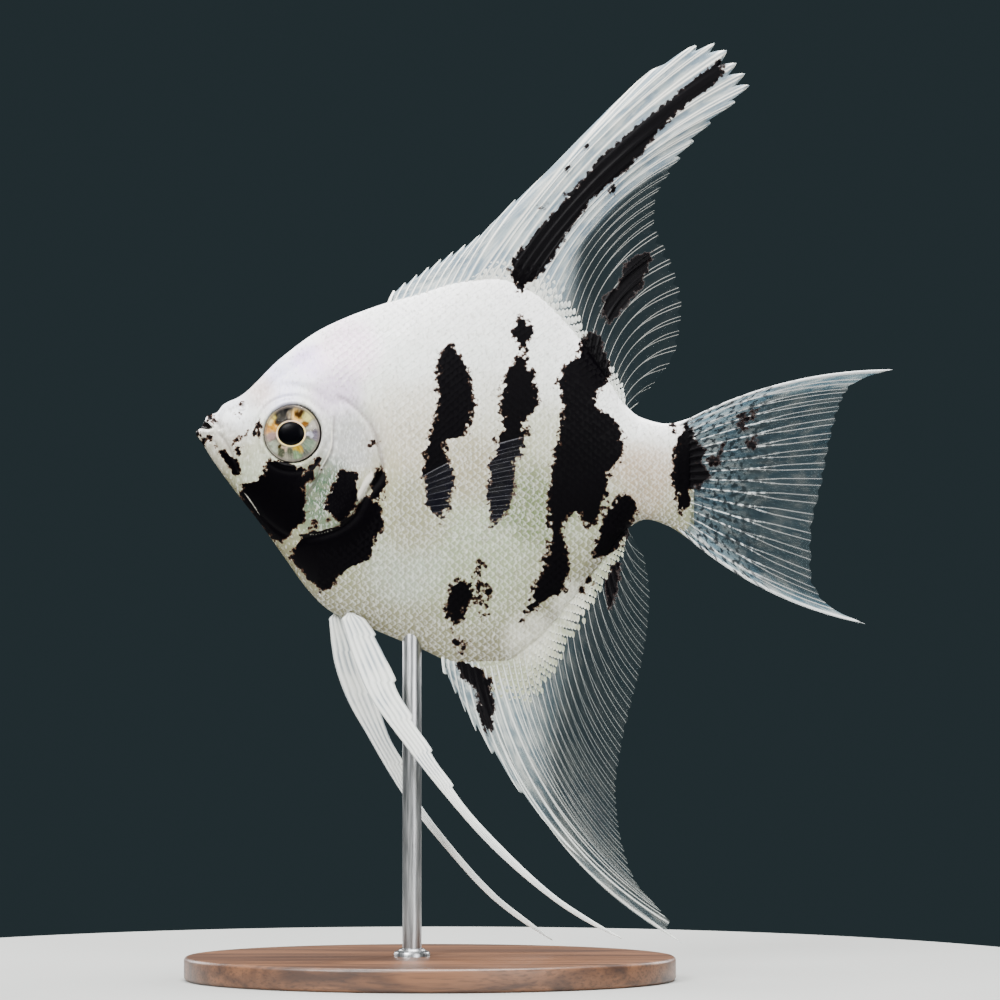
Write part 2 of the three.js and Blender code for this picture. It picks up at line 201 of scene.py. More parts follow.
# ---------------------------------------------------------------------------------------------
# The skin: one closed hide from the lips to the root of the tail, over jaw, gill covers and
# flanks. It is thin, wet-looking and smooth on the head, where it shows the bones' edges under
# it, and it lies a scale's depth inside the body's outline further back. Sizes are in mm.
# ---------------------------------------------------------------------------------------------
MM = 0.001
BODY_FRONT, BODY_REAR = -39, 44
WELD = 2e-6
BACK = [
    (-39, 91.7), (-38.2, 92.1), (-37.6, 93.2), (-37, 94.2), (-35.6, 94.6), (-34.4, 96), (-31.6, 97.4),
    (-25, 103.6), (-18, 108.6), (-10, 112), (-2, 114.5), (5, 116.6), (11, 117.3), (17, 115.2),
    (23.5, 109), (28.5, 102.2), (32.5, 96), (35, 93.9), (39.5, 92.8), (44, 93.9),
]
BELLY = [
    (-39, 90.6), (-38.2, 89.7), (-36.3, 86.7), (-33.3, 82.5), (-28, 75.6), (-25, 71.4), (-19.7, 64.2),
    (-16.6, 61.4), (-9, 58.2), (-1, 54.9), (5, 52.6), (12, 52.6), (18, 56.2), (24, 63.2), (29, 69.8),
    (33, 75.2), (36, 76.7), (39.5, 75.7), (44, 72.8),
]
HALF_WIDTH = [
    (-39, 0.8), (-37.5, 1.7), (-35, 2.2), (-32, 3.1), (-27, 4.6), (-21, 5.8), (-14, 6.7), (-5, 6.9),
    (5, 6.4), (15, 5.4), (24, 4.1), (31, 3.1), (36, 2.6), (40, 2), (44, 1.1),
]
KEEL = [(-39, 0.5), (-30, 0.55), (-15, 0.68), (20, 0.7), (34, 0.55), (44, 0.5)]
KEEL_EDGE = 0.35
COAT_DEPTH = 0.16
BARE_DEPTH = 0.03
NOSE_ROUND = 1.1
MAP_RIM, MAP_SEAM, MAP_FLANK = 0.01, 0.002, 0.487
EYE_X, EYE_Z = -22.77, 91
EYE_OUT = 4.8
SOCKET_FLOOR = 3.9
RING_HALF = 170
GILL_EDGE = [
    (-15.2, 97), (-13.3, 95.8), (-11, 93.6), (-9.5, 91.5), (-8.6, 88.5), (-8, 85.5), (-8.9, 83.6),
    (-10.7, 81.4), (-11.7, 79.4), (-12.7, 77.6), (-15.6, 75.4), (-20.8, 74), (-25, 73.2),
]
CHEEK_EDGE = [(-15.6, 95), (-15.9, 92), (-16.1, 88.5), (-18.2, 84.3), (-20.2, 80.7), (-21.2, 77.7)]
MOUTH_ROOF = [(-39.2, 93.6), (-38, 93.5), (-37.6, 93.25), (-36.9, 92.75), (-36.2, 92.1)]
MOUTH_FLOOR = [(-39.2, 91.95), (-38, 91.85), (-36.9, 91.8), (-36.2, 91.95)]
JAW_FOLD = [(-35.4, 91.5), (-34, 89.8), (-33, 88), (-32, 85.8), (-31.7, 84.3)]
LIP_FOLD = [(-37.4, 94.4), (-36.3, 93.3), (-35.2, 92.4), (-34.6, 91.6)]
CHIN_FOLD = [(-38.4, 90.1), (-36.6, 90), (-35.4, 88.9), (-34.4, 87)]
THROAT_FOLD = [(-31.7, 84.2), (-30.6, 81), (-28, 77.3), (-24.2, 74.2), (-21.7, 73.2)]
BROW_FOLD = [(-30.2, 97.6), (-26.5, 98.6), (-22, 98.8), (-18, 97.2), (-15.6, 94.8)]
NOSTRIL = (-31.2, 95.7)
PALE_LINES = [
    ([(-8.2, 85.9), (-9.8, 83.9), (-10.8, 82.2), (-11.4, 80.7), (-12.2, 78.6)], 0.62, 1.0),
    ([(-31.6, 82), (-30.4, 80.6), (-29, 78.6), (-27.2, 75.6)], 0.17, 0.5),
    ([(-16, 94.4), (-16.2, 91.6), (-16.4, 88.6), (-17.7, 85.8), (-19, 83.6)], 0.18, 0.8),
    ([(-22.5, 74.6), (-19.5, 74.3), (-16.4, 75), (-13.6, 77)], 0.14, 0.5),
    ([(-9.8, 92.4), (-8.6, 94), (-6.2, 96.9)], 0.3, 0.5),
    ([(-9.5, 80.4), (-8.1, 80), (-6.4, 78.8)], 0.16, 0.6),
]
MARKS = {
    "front bar": [
        (106, 2.5, 3.5), (102, 1, 6), (97, 1, 7.25), (92, 0, 6.5), (90.5, -0.5, 5.5), (90, -0.5, 2.5),
        (87.5, -1, 2.5), (84, -1, 4), (80, -0.75, 3.25), (76, 2, 2.5),
    ],
    "middle bar": [
        (110.75, 15, 15.5), (108, 13.5, 17), (105, 14.75, 15.75), (102, 13, 16.5), (97.5, 11.75, 18),
        (95, 11.5, 17.5), (93.5, 11.75, 15.5), (88.5, 11, 15.5), (86, 10, 14), (81, 9.5, 13.75),
        (76.5, 10, 11.5),
    ],
    "rear bar": [
        (107.5, 25.5, 28.5), (104, 24.5, 29.25), (102.5, 22.5, 30), (101, 21.5, 30), (98.5, 21.25, 28),
        (95.5, 21.5, 27.25), (94, 21.75, 30), (89, 20.75, 32.25), (84.5, 20, 30), (79, 19.25, 28.5),
        (78.25, 19.25, 24), (75, 19.75, 22), (70, 19, 23), (65, 17, 22.5), (63.5, 16.5, 19.5),
        (61, 15.5, 16.75),
    ],
    "rear bar heel": [(79, 24, 28.5), (77, 25, 28), (75, 25.75, 26.25)],
    "tail root blotch": [
        (81, 31.5, 33), (78, 29.5, 34.25), (75.5, 28.25, 33.5), (72, 27.25, 31.5), (70.5, 27.25, 28.5),
    ],
    "anal spot": [(69.5, 30.75, 31.75), (66, 29, 31.5), (62, 29.75, 30.25)],
    "belly blotch": [(67, 4.5, 5), (65.5, 3.5, 7.25), (62, 2.25, 6), (58.5, 3.5, 4.25)],
    "anal blotch": [
        (53, 4.25, 5.5), (51.5, 5, 9), (49.75, 6, 10.25), (49, 7.25, 10.5), (46, 7.75, 10.75),
        (40.5, 9.5, 10),
    ],
    "tail band": [
        (92, 42.5, 43.75), (90, 41.25, 44.25), (88, 40.5, 46), (86.5, 40.5, 45), (84.25, 40.25, 46.75),
        (82, 40.5, 44), (78.5, 41, 42.5),
    ],
    "dorsal stripe": [
        (153.25, 48, 49.5), (150, 43.5, 48), (146, 39, 42.75), (140, 31.5, 37), (136, 27.5, 33.75),
        (131, 23.5, 28), (124.5, 17.5, 23), (118.5, 13.5, 19.25), (116, 14, 16.5), (114.5, 14.5, 15.25),
    ],
    "dorsal streak": [
        (121.5, 36.25, 37), (120, 33, 36.75), (115.5, 31, 35), (113.5, 28.75, 33.5), (109.25, 29, 30),
    ],
    "cheek": [
        (86.25, -26.75, -23.5), (85.5, -27.25, -21), (83.5, -28.25, -20.5), (82.5, -31.25, -20.25),
        (80, -31.5, -20.5), (77, -29.5, -20.75), (75, -28, -22.5), (73, -25.5, -24.5),
    ],
    "cheek spur": [(87, -18.5, -17.75), (85, -20.5, -18.5), (83, -22.25, -19.75), (81.5, -22, -20.25)],
    "gill spot": [(84.75, -14.75, -12.25), (82, -16.5, -11.5), (79, -17.25, -12.25), (76.5, -15.75, -14)],
    "shoulder spot": [(85.5, -8.75, -8), (82.75, -10.25, -7), (80, -9.5, -8.25)],
    "throat": [
        (80.5, -11, -10), (78, -13, -8), (75.5, -16, -7.75), (74, -21.5, -8.75), (70.5, -23, -9.75),
        (68.5, -21.75, -13.75), (64.25, -18, -17.5),
    ],
    "jaw bar": [(88.25, -35.25, -34.25), (86.25, -34, -31.75), (84.25, -32.5, -31)],
    "lip dash": [(94.5, -37.5, -36.25), (93, -36.75, -35.25)],
    "lower lip": [(91.75, -39.25, -38.25), (90.75, -39.25, -38.25)],
    "chin dash": [(90.5, -36.75, -36.25), (89, -36.25, -35.75)],
    "cheek dash": [(89.25, -32, -31.75), (87.75, -32.25, -31.5), (87.25, -31.75, -31.5)],
    "eye dash": [(93.5, -28.25, -27.75), (92.75, -28.75, -28), (91.75, -28.75, -28.5)],
    "snout dash": [(91.75, -30.5, -29.75), (90.5, -31, -30.5)],
}
SPECKS = [
    (-37.75, 89.5, 0.35), (-32, 90, 0.25), (-29, 91, 0.2), (-31.5, 96, 0.15), (-32, 94.5, 0.15),
    (-18.75, 76.5, 0.45), (-19, 75.5, 0.55), (-16.75, 76.75, 0.3), (-9.5, 89.25, 0.35),
    (10, 75.75, 0.35), (16.25, 91.25, 0.4), (10.75, 90.5, 0.3), (8.5, 69.25, 0.45), (8.25, 67.75, 0.6),
    (8.25, 66, 0.4), (9.5, 64.75, 0.35), (7.75, 64, 0.35), (8.75, 63, 0.3), (8.75, 60.75, 0.3),
    (4.5, 56, 0.5), (5.25, 55, 0.45), (6.25, 56.25, 0.35), (15.25, 60, 0.3), (26.75, 67, 0.4),
    (25.25, 64.75, 0.4), (19, 129, 0.45), (23, 130.75, 0.45), (23, 135.25, 0.4), (26, 139, 0.35),
    (30.5, 132, 0.45), (40.5, 92.5, 0.35), (42.5, 92.75, 0.4), (52.25, 93.75, 0.6), (54, 94.25, 0.5),
    (52, 92.5, 0.45), (53.75, 89.25, 0.6), (49, 88.75, 0.45), (48.25, 86.75, 0.45), (47, 86.5, 0.5),
    (44.75, 82.25, 0.4), (41.25, 78.25, 0.4),
]


def smooth(low, high, value):
    """0 at low, 1 at high, with a smooth rise between, for arrays."""
    share = np.clip((value - low) / (high - low), 0, 1)
    return share * share * (3 - 2 * share)


def line_through(points, at):
    """A smooth line through points of (place, value) that never swings past them."""
    places, values = np.array(points, float).T[:2]
    rises = np.diff(values) / np.diff(places)
    turn = rises[:-1] * rises[1:]
    total = np.where(turn > 0, rises[:-1] + rises[1:], 1)
    slopes = np.concatenate([rises[:1], np.where(turn > 0, 2 * turn / total, 0), rises[-1:]])
    at = np.clip(at, places[0], places[-1])
    left = np.clip(np.searchsorted(places, at, "right") - 1, 0, len(rises) - 1)
    span = places[left + 1] - places[left]
    share = (at - places[left]) / span
    start = (1 + 2 * share) * (1 - share) ** 2 * values[left]
    start_slope = share * (1 - share) ** 2 * span * slopes[left]
    end = share**2 * (3 - 2 * share) * values[left + 1]
    end_slope = share**2 * (share - 1) * span * slopes[left + 1]
    return start + start_slope + end + end_slope


def rope(points, share):
    """Points at those shares of a smooth curve through points, evenly shared between them."""
    knots = np.array(points, float)
    knots = np.vstack([2 * knots[0] - knots[1], knots, 2 * knots[-1] - knots[-2]])
    place = np.clip(share, 0, 1) * (len(points) - 1)
    left = np.clip(place.astype(int), 0, len(points) - 2)
    part = (place - left)[:, None]
    a, b, c, d = (knots[left + step] for step in range(4))
    gap_a, gap_b, gap_c = (
        np.sqrt(np.linalg.norm(end - start, axis=1))[:, None] for start, end in ((a, b), (b, c), (c, d))
    )
    leave = ((b - a) / gap_a - (c - a) / (gap_a + gap_b) + (c - b) / gap_b) * gap_b
    arrive = ((c - b) / gap_b - (d - b) / (gap_b + gap_c) + (d - c) / gap_c) * gap_b
    square, cube = part**2, part**3
    return (
        b + leave * part
        + (3 * (c - b) - 2 * leave - arrive) * square
        + (2 * (b - c) + leave + arrive) * cube
    )


def grid_piece(name, columns, rows):
    """A flat grid to be shaped, with the column and row of each of its points."""
    bpy.ops.object.select_all(action="DESELECT")
    bpy.ops.mesh.primitive_grid_add(x_subdivisions=columns - 1, y_subdivisions=rows - 1, size=2)
    piece = bpy.context.object
    piece.name = piece.data.name = name
    spots = np.empty(len(piece.data.vertices) * 3)
    piece.data.vertices.foreach_get("co", spots)
    spots = spots.reshape(-1, 3)
    column = np.rint((spots[:, 0] + 1) / 2 * (columns - 1)).astype(int)
    row = np.rint((spots[:, 1] + 1) / 2 * (rows - 1)).astype(int)
    return piece, column, row


def move_points(piece, x, y, z):
    """Puts the points of a piece at places in mm."""
    spots = np.stack([x, y, z], axis=1) * MM
    piece.data.vertices.foreach_set("co", spots.ravel())
    piece.data.update()


def note(piece, name, values):
    """Keeps one number for each point of a piece, for its material to read."""
    kept = piece.data.attributes.new(name, "FLOAT", "POINT")
    kept.data.foreach_set("value", np.asarray(values, np.float32))


def seal(piece):
    """Welds the edges that meet, turns all faces outwards and smooths the shading."""
    bpy.ops.object.select_all(action="DESELECT")
    piece.select_set(True)
    bpy.context.view_layer.objects.active = piece
    bpy.ops.object.mode_set(mode="EDIT")
    bpy.ops.mesh.select_all(action="SELECT")
    bpy.ops.mesh.remove_doubles(threshold=WELD)
    bpy.ops.mesh.normals_make_consistent(inside=False)
    bpy.ops.object.mode_set(mode="OBJECT")
    bpy.ops.object.shade_smooth()


def dress(piece, finish, slot, *nodes):
    """Gives a piece its finish, hangs it on the root and hides the model's parts whose place it takes. The
    slot argument is not used.
    """
    piece.data.materials.clear()
    piece.data.materials.append(finish)
    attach(piece, "root")
    if nodes:
        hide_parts(*nodes)


def from_line(x, z, points):
    """Distance from a smooth line, minus ahead of it and plus behind, and the share along it."""
    line = rope(points, np.linspace(0, 1, 6 * len(points)))
    nearest = np.full(x.shape, 1e9)
    side = np.ones(x.shape)
    along = np.zeros(x.shape)
    for index, (start, end) in enumerate(zip(line[:-1], line[1:])):
        step = end - start
        share = np.clip(((x - start[0]) * step[0] + (z - start[1]) * step[1]) / (step @ step), 0, 1)
        away_x = x - start[0] - share * step[0]
        away_z = z - start[1] - share * step[1]
        away = np.hypot(away_x, away_z)
        closer = away < nearest
        nearest = np.where(closer, away, nearest)
        side = np.where(closer, np.sign(step[0] * away_z - step[1] * away_x), side)
        along = np.where(closer, (index + share) / (len(line) - 1), along)
    return nearest * side, along


def groove(x, z, points, width, fade=0.15):
    """1 on a line and 0 beside it, fading out at its ends."""
    away, along = from_line(x, z, points)
    ends = smooth(0, fade, along) * (1 - smooth(1 - fade, 1, along))
    return np.exp(-((away / width) ** 2)) * ends


def relief(x, z):
    """How far the skin stands out over the bones and folds of the head, in mm."""
    away, along = from_line(x, z, GILL_EDGE)
    ends = smooth(0, 0.12, along) * (1 - smooth(0.86, 1, along))
    plate = smooth(-5.5, -0.7, away) * (1 - smooth(-0.35, 0.1, away))
    shadow = smooth(-0.2, 0.15, away) * (1 - smooth(0.2, 1.7, away))
    rise = (0.36 * plate - 0.3 * shadow) * ends
    away, along = from_line(x, z, CHEEK_EDGE)
    ends = smooth(0, 0.2, along) * (1 - smooth(0.8, 1, along))
    rise += (0.16 * smooth(-3, -0.5, away) * (1 - smooth(-0.3, 0.2, away))) * ends
    rise -= 0.2 * np.exp(-(((away - 0.25) / 0.4) ** 2)) * ends
    rise -= 0.3 * groove(x, z, JAW_FOLD, 0.32)
    rise -= 0.3 * groove(x, z, LIP_FOLD, 0.28)
    upper_lip = np.abs(line_through(MOUTH_ROOF, x) + 0.45 - z)
    lower_lip = np.abs(line_through(MOUTH_FLOOR, x) - 0.5 - z)
    lips = np.minimum(upper_lip, lower_lip)
    rise += 0.16 * np.exp(-((lips / 0.35) ** 2)) * smooth(-35.6, -36.6, x)
    rise -= 0.3 * groove(x, z, CHIN_FOLD, 0.3)
    rise -= 0.22 * groove(x, z, THROAT_FOLD, 0.4)
    rise -= 0.14 * groove(x, z, BROW_FOLD, 0.8)
    hole = np.hypot(x - NOSTRIL[0], z - NOSTRIL[1])
    rise += 0.12 * np.exp(-(((hole - 0.55) / 0.25) ** 2)) - 0.45 * np.exp(-((hole / 0.3) ** 2))
    orbit = np.hypot(x - EYE_X, z - EYE_Z)
    rise += 0.16 * np.exp(-(((orbit - 5.35) / 0.4) ** 2)) - 0.1 * np.exp(-(((orbit - 6.2) / 0.4) ** 2))
    return rise


def flank(x, s):
    """Half of the body's thickness at x. s goes from -1 at the belly to 1 at the back."""
    full = line_through(HALF_WIDTH, x) * np.maximum(1 - s * s, 0) ** line_through(KEEL, x)
    return np.maximum(full, KEEL_EDGE * smooth(0, 0.05, 1 - np.abs(s)))


def gape(x, z):
    """1 in the open mouth, between the lips, and 0 outside it."""
    roof = line_through(MOUTH_ROOF, x) - z
    floor = z - line_through(MOUTH_FLOOR, x)
    return smooth(-0.1, 0.08, np.minimum(roof, floor)) * smooth(-36.15, -36.45, x)


def hide(x, s):
    """The skin's distance from the middle plane and its height, in mm."""
    nose = np.clip((x - BODY_FRONT) / NOSE_ROUND, 0, 1)
    nose = np.sqrt(nose * (2 - nose))
    tail = smooth(BODY_REAR, 40.4, x)
    top = line_through(BACK, x) - COAT_DEPTH * 0.5
    foot = line_through(BELLY, x) + COAT_DEPTH * 0.5
    middle = (top + foot) / 2
    z = middle + (top - foot) / 2 * s * (0.55 + 0.45 * nose)
    scaly = smooth(-19, -13, x)
    depth = BARE_DEPTH + (COAT_DEPTH - BARE_DEPTH) * scaly
    y = flank(x, s) - depth * np.sqrt(np.maximum(1 - s * s, 0))
    y = y * nose * (0.35 + 0.65 * tail) * smooth(BODY_REAR, 43.3, x)
    flat = 1 - s**6
    y = np.maximum(y + relief(x, z) * flat, 0.0)
    y = y * (1 - 0.94 * gape(x, z))
    orbit = np.hypot(x - EYE_X, z - EYE_Z)
    y = np.where(orbit < 5.0, y + (SOCKET_FLOOR - y) * smooth(5.0, 4.72, orbit), y)
    return np.maximum(y, 0.0) * (np.abs(s) < 0.99999), z


def mark_depth(x, z):
    """How deep inside a black mark a place is, in mm: below 0 outside all of them. A mark's rows
    are (height, front edge, rear edge), and a speck is (x, height, radius)."""
    depth = np.full(x.shape, -9.0)
    for rows in MARKS.values():
        ordered = np.array(sorted(rows))
        front, back = (line_through(ordered[:, [0, edge]], z) for edge in (1, 2))
        inside = np.minimum(x - front, back - x)
        beyond = np.maximum(np.maximum(ordered[0, 0] - z, z - ordered[-1, 0]), 0)
        depth = np.maximum(depth, np.where(beyond > 0, np.minimum(inside, 0) - beyond, inside))
    for spot_x, spot_z, radius in SPECKS:
        depth = np.maximum(depth, 1.25 * radius + 0.12 - np.hypot(x - spot_x, z - spot_z))
    return depth


stations = [float(BODY_FRONT)]
while stations[-1] < BODY_REAR:
    fine = 0.14 + 0.1 * smooth(BODY_FRONT, -35, stations[-1]) + 0.6 * smooth(-8, 4, stations[-1])
    stations.append(stations[-1] + fine)
stations = np.interp(stations, [stations[0], stations[-1]], [BODY_FRONT, BODY_REAR])

skin, column, row = grid_piece("skin", len(stations), 2 * RING_HALF + 1)
skin_x = stations[column]
turn = row / RING_HALF * math.pi
skin_s = -np.cos(turn)
skin_y, skin_z = hide(skin_x, skin_s)
skin_side = np.where(row <= RING_HALF, -1, 1)
move_points(skin, skin_x, skin_y * skin_side, skin_z)
note(skin, "mark", mark_depth(skin_x, skin_z))
note(skin, "rise", skin_s)
note(skin, "gape", gape(skin_x, skin_z))
gill_away, gill_along = from_line(skin_x, skin_z, GILL_EDGE)
note(skin, "pale_line", np.maximum.reduce([
    groove(skin_x, skin_z, line, width, 0.35) * strength for line, width, strength in PALE_LINES
]))
# Painted shade in the head's folds: just behind the gill opening, along the cheek, jaw, lip and throat
# folds, and in the nostril.
note(skin, "crease", np.maximum.reduce([
    np.exp(-(((gill_away - 0.3) / 0.3) ** 2)) * (1 - smooth(0.55, 0.9, gill_along)) * 0.8,
    groove(skin_x, skin_z, CHEEK_EDGE, 0.25) * 0.6,
    groove(skin_x, skin_z, JAW_FOLD, 0.22) * 0.6,
    groove(skin_x, skin_z, LIP_FOLD, 0.2) * 0.5,
    groove(skin_x, skin_z, THROAT_FOLD, 0.22) * 0.5,
    np.exp(-((np.hypot(skin_x - NOSTRIL[0], skin_z - NOSTRIL[1]) / 0.3) ** 2)) * 0.9,
]))

SCALE_LEVEL = 85
girth = np.linspace(-1, 1, 161)
girth_x = np.linspace(BODY_FRONT, BODY_REAR, 167)
grid_x, grid_s = np.meshgrid(girth_x, girth, indexing="ij")
grid_y, grid_z = flank(grid_x, grid_s), hide(grid_x, grid_s)[1]
arc = np.hypot(np.diff(grid_y, axis=1), np.diff(grid_z, axis=1)).cumsum(axis=1)
arc = np.hstack([np.zeros((len(girth_x), 1)), arc])


def around(x, at, forward):
    """The way up the flank from the belly at s, or back, s from that way, for places at x."""
    place = np.clip((x - girth_x[0]) / (girth_x[1] - girth_x[0]), 0, len(girth_x) - 1.001)
    left = place.astype(int)
    part = place - left
    found = np.zeros(x.shape)
    for station in np.unique(np.concatenate([left, left + 1])):
        rows_here = arc[station]
        for shift, weight in ((0, 1 - part), (1, part)):
            here = left + shift == station
            source = (girth, rows_here) if forward else (rows_here, girth)
            found[here] += weight[here] * np.interp(at[here], *source)
    return found


def level_way(x):
    """How far up the flank from the belly the height of the mouth and the tail's middle lies."""
    top, foot = line_through(BACK, x), line_through(BELLY, x)
    return around(x, np.clip((2 * SCALE_LEVEL - top - foot) / (top - foot), -1, 1), True)


def bake_place(x, arc_up, side):
    """Where a place on the skin lies on its unwrap: the belly in the middle, a side on each half."""
    along = (x - BODY_FRONT) / (BODY_REAR - BODY_FRONT) * (1 - 2 * MAP_RIM) + MAP_RIM
    return np.stack([along, 0.5 + side * (MAP_SEAM + arc_up / full_arc * MAP_FLANK)], -1)


full_arc = arc[:, -1].max()
skin_arc = around(skin_x, skin_s, True)
skin_map = skin.data.uv_layers.new(name="OFBake")
loops = np.empty(len(skin.data.loops), int)
skin.data.loops.foreach_get("vertex_index", loops)
on_left = np.repeat(
    np.array([row[face.vertices[0]] for face in skin.data.polygons]) < RING_HALF, 4
)
loop_side = np.where(on_left, -1, 1)
skin_map.data.foreach_set("uv", bake_place(skin_x[loops], skin_arc[loops], loop_side).ravel())
seal(skin)

# Colours up the body from belly to back: partly the fish's own cream and pearl, partly painted light from
# above, white on top and darker below.
FLESH_WITH_PAINTED_LIGHT = [
    (0.0, rgb(112, 108, 80)), (0.14, rgb(138, 140, 106)), (0.34, rgb(160, 168, 135)),
    (0.52, rgb(176, 172, 144)), (0.66, rgb(218, 218, 202)), (0.8, rgb(244, 248, 242)),
    (1.0, rgb(255, 255, 255)),
]
# Patches of the fish's own tints, and two patches of painted light along the keel.
TINTS_AND_PAINTED_LIGHT = [
    ("lilac nape", -20, 103, 3.5, rgb(212, 190, 236), 0.9),
    ("lilac brow", -25.5, 99, 5, rgb(206, 202, 236), 0.85),
    ("pink nape", -13.5, 105, 6, rgb(246, 212, 238), 0.8),
    ("peach brow", -28.5, 97.8, 3.5, rgb(208, 190, 178), 0.8),
    ("lilac temple", -15.5, 97.5, 5, rgb(206, 184, 214), 0.8),
    ("silver gill", -13.5, 89.5, 7, rgb(176, 177, 180), 0.8),
    ("green gill", -17.6, 80.5, 7, rgb(66, 92, 70), 0.95),
    ("peach side", -2, 92, 9, rgb(200, 186, 162), 0.5),
    ("green flank", 8, 70, 11, rgb(158, 174, 138), 0.5),
    ("silver flank", -4, 69, 7, rgb(180, 192, 176), 0.6),
    ("cream shoulder", -3, 77, 7, rgb(150, 146, 112), 0.8),
    ("green middle", 18, 80, 8, rgb(96, 114, 64), 0.9),
    ("green upper", 17.5, 91, 6, rgb(172, 178, 144), 0.6),
    ("cream middle", 6.5, 85, 6, rgb(158, 148, 116), 0.7),
    # Painted light along the body's lower rear edge, lifting the shade where the body meets the anal fin's
    # root.
    ("keel painted light", 17, 57, 5, rgb(224, 224, 204), 0.85),
    ("rear keel painted light", 24, 63, 4, rgb(224, 224, 204), 0.85),
    ("peach stalk", 36, 84, 7, rgb(188, 160, 136), 0.7),
    ("white snout", -34, 94, 6, rgb(204, 205, 212), 0.8),
    ("cream chin", -35, 89, 5, rgb(190, 184, 168), 0.7),
    ("white cheek", -27, 85, 6, rgb(196, 202, 182), 0.6),
]


def black_marks(wires, ground, fringe, wide, lobed, torn):
    """Paints the noted marks on a ground colour, with a torn, brown-fringed edge."""
    here = wires.here()
    ragged = wires.noise(here, 1150.0, 5.0, Roughness=0.72)
    lobes = wires.node("ShaderNodeTexVoronoi", {}, {"Vector": here, "Scale": 1000.0})
    edge = wires.read("mark") + (0.46 - lobes) * lobed + (ragged - 0.5) * torn + (wide - 0.5) * 1.6
    fringed = edge.step(-0.3, 0.02).blend(ground, fringe)
    return edge.step(-0.08, 0.2).blend(fringed, rgb(2, 1, 3)), edge


def coat_colour(wires, tint):
    """The fish's pattern, for skin and scales alike: black marks on pearl, creamy below. It is white on top
    and darker towards the belly, partly the fish's own colour and partly painted light from above.
    """
    here = wires.here()
    x = here.node("ShaderNodeSeparateXYZ", {}, {0: here})
    z = Signal(wires.tree, x.wire.node.outputs["Z"])
    height = wires.read("rise") * 0.5 + 0.5
    cloud = wires.noise(here, 160.0, 3.0)
    shade = height + cloud * 0.16 - 0.08
    flesh_with_painted_light = shade.node("ShaderNodeValToRGB", {"stops": FLESH_WITH_PAINTED_LIGHT}, {0: shade})
    for name, spot_x, spot_z, radius, colour, share in TINTS_AND_PAINTED_LIGHT:
        across = (x - spot_x * MM) / (radius * MM)
        down = (z - spot_z * MM) / (radius * MM)
        near = 1 - (across * across + down * down + cloud * 0.8 - 0.4).step(0.0, 1.4)
        flesh_with_painted_light = (near * share).blend(flesh_with_painted_light, colour)
    fleck_place = here.stretched((1.7, 1.0, 0.9))
    fleck = wires.noise(fleck_place, 1500.0)
    mottle = wires.noise(here, 640.0, 4.0, Roughness=0.7)
    # The mottle fades out towards the back, so the top is painted brighter, as if lit from above.
    flesh_with_painted_light = (0.34 * (1 - shade.step(0.45, 0.8)) * mottle.step(0.48, 0.62)).blend(flesh_with_painted_light, rgb(150, 147, 122))
    flesh_with_painted_light = (0.34 * fleck.step(0.5, 0.72)).blend(flesh_with_painted_light, rgb(252, 252, 246))
    flesh_with_painted_light = (0.42 * (1 - fleck.step(0.28, 0.48))).blend(flesh_with_painted_light, rgb(140, 136, 122))
    # On the scales, tint is each scale's random tint plus painted shade on its root half. On the skin it is
    # 0.
    flesh_with_painted_light = tint.blend(flesh_with_painted_light, rgb(136, 136, 124))
    wide = wires.noise(here, 420.0, 1.0)
    coloured, edge = black_marks(wires, flesh_with_painted_light, rgb(86, 60, 46), wide, lobed=1.0, torn=3.4)
    return coloured, edge, fleck


skin_finish, skin_shader, wires = finish_of(
    "angelfish_skin", Coat_Roughness=0.18, Specular_IOR_Level=0.05
)
coloured, edge, fleck = coat_colour(wires, wires.node("ShaderNodeValue") * 0.0)
# Painted shade darkens the folds, but not inside the black marks.
crease = wires.read("crease")
coloured = (crease * (1 - edge.step(-0.3, 0.05)) * 0.75).blend(coloured, rgb(96, 84, 84))
pale_line = wires.read("pale_line")
coloured = (pale_line + 0.5 * fleck - 0.25).step(0.25, 0.7).blend(coloured, rgb(222, 218, 204))
# The open mouth is painted near black, as painted shade inside the opening.
mouth = wires.read("gape")
coloured = mouth.step(0.3, 0.7).blend(coloured, rgb(12, 8, 9))
coloured.feed(skin_shader, "Base Color")
(0.55 * (1 - edge.step(-0.3, 0.05))).feed(skin_shader, "Coat Weight")
(0.34 + 0.16 * fleck).feed(skin_shader, "Roughness")
wires.noise(wires.here(), 2600.0).emboss(skin_shader, 0.12)
dress(
    skin, skin_finish, "skin",
    "head", "lower_jaw", "gill_cover_left", "gill_cover_right", "trunk", "tail_stalk",
)


# ---------------------------------------------------------------------------------------------
# The scales: thin horn plates in overlapping rows, each rooted under the ones ahead of it, with
# its round rear edge free. They cover the flanks and the nape, smaller on the tail's stalk and
# smallest on the gill covers, and leave the snout, lips and jaw bare.
# ---------------------------------------------------------------------------------------------
SCALE_PITCH = 0.74
SCALE_ROW = 1.28
SCALE_LENGTH = 2.0
SCALE_STEPS = 4
SCALE_PATCH = 0.003
SCALE_SEED = 7
GILL_SCALE = 0.62


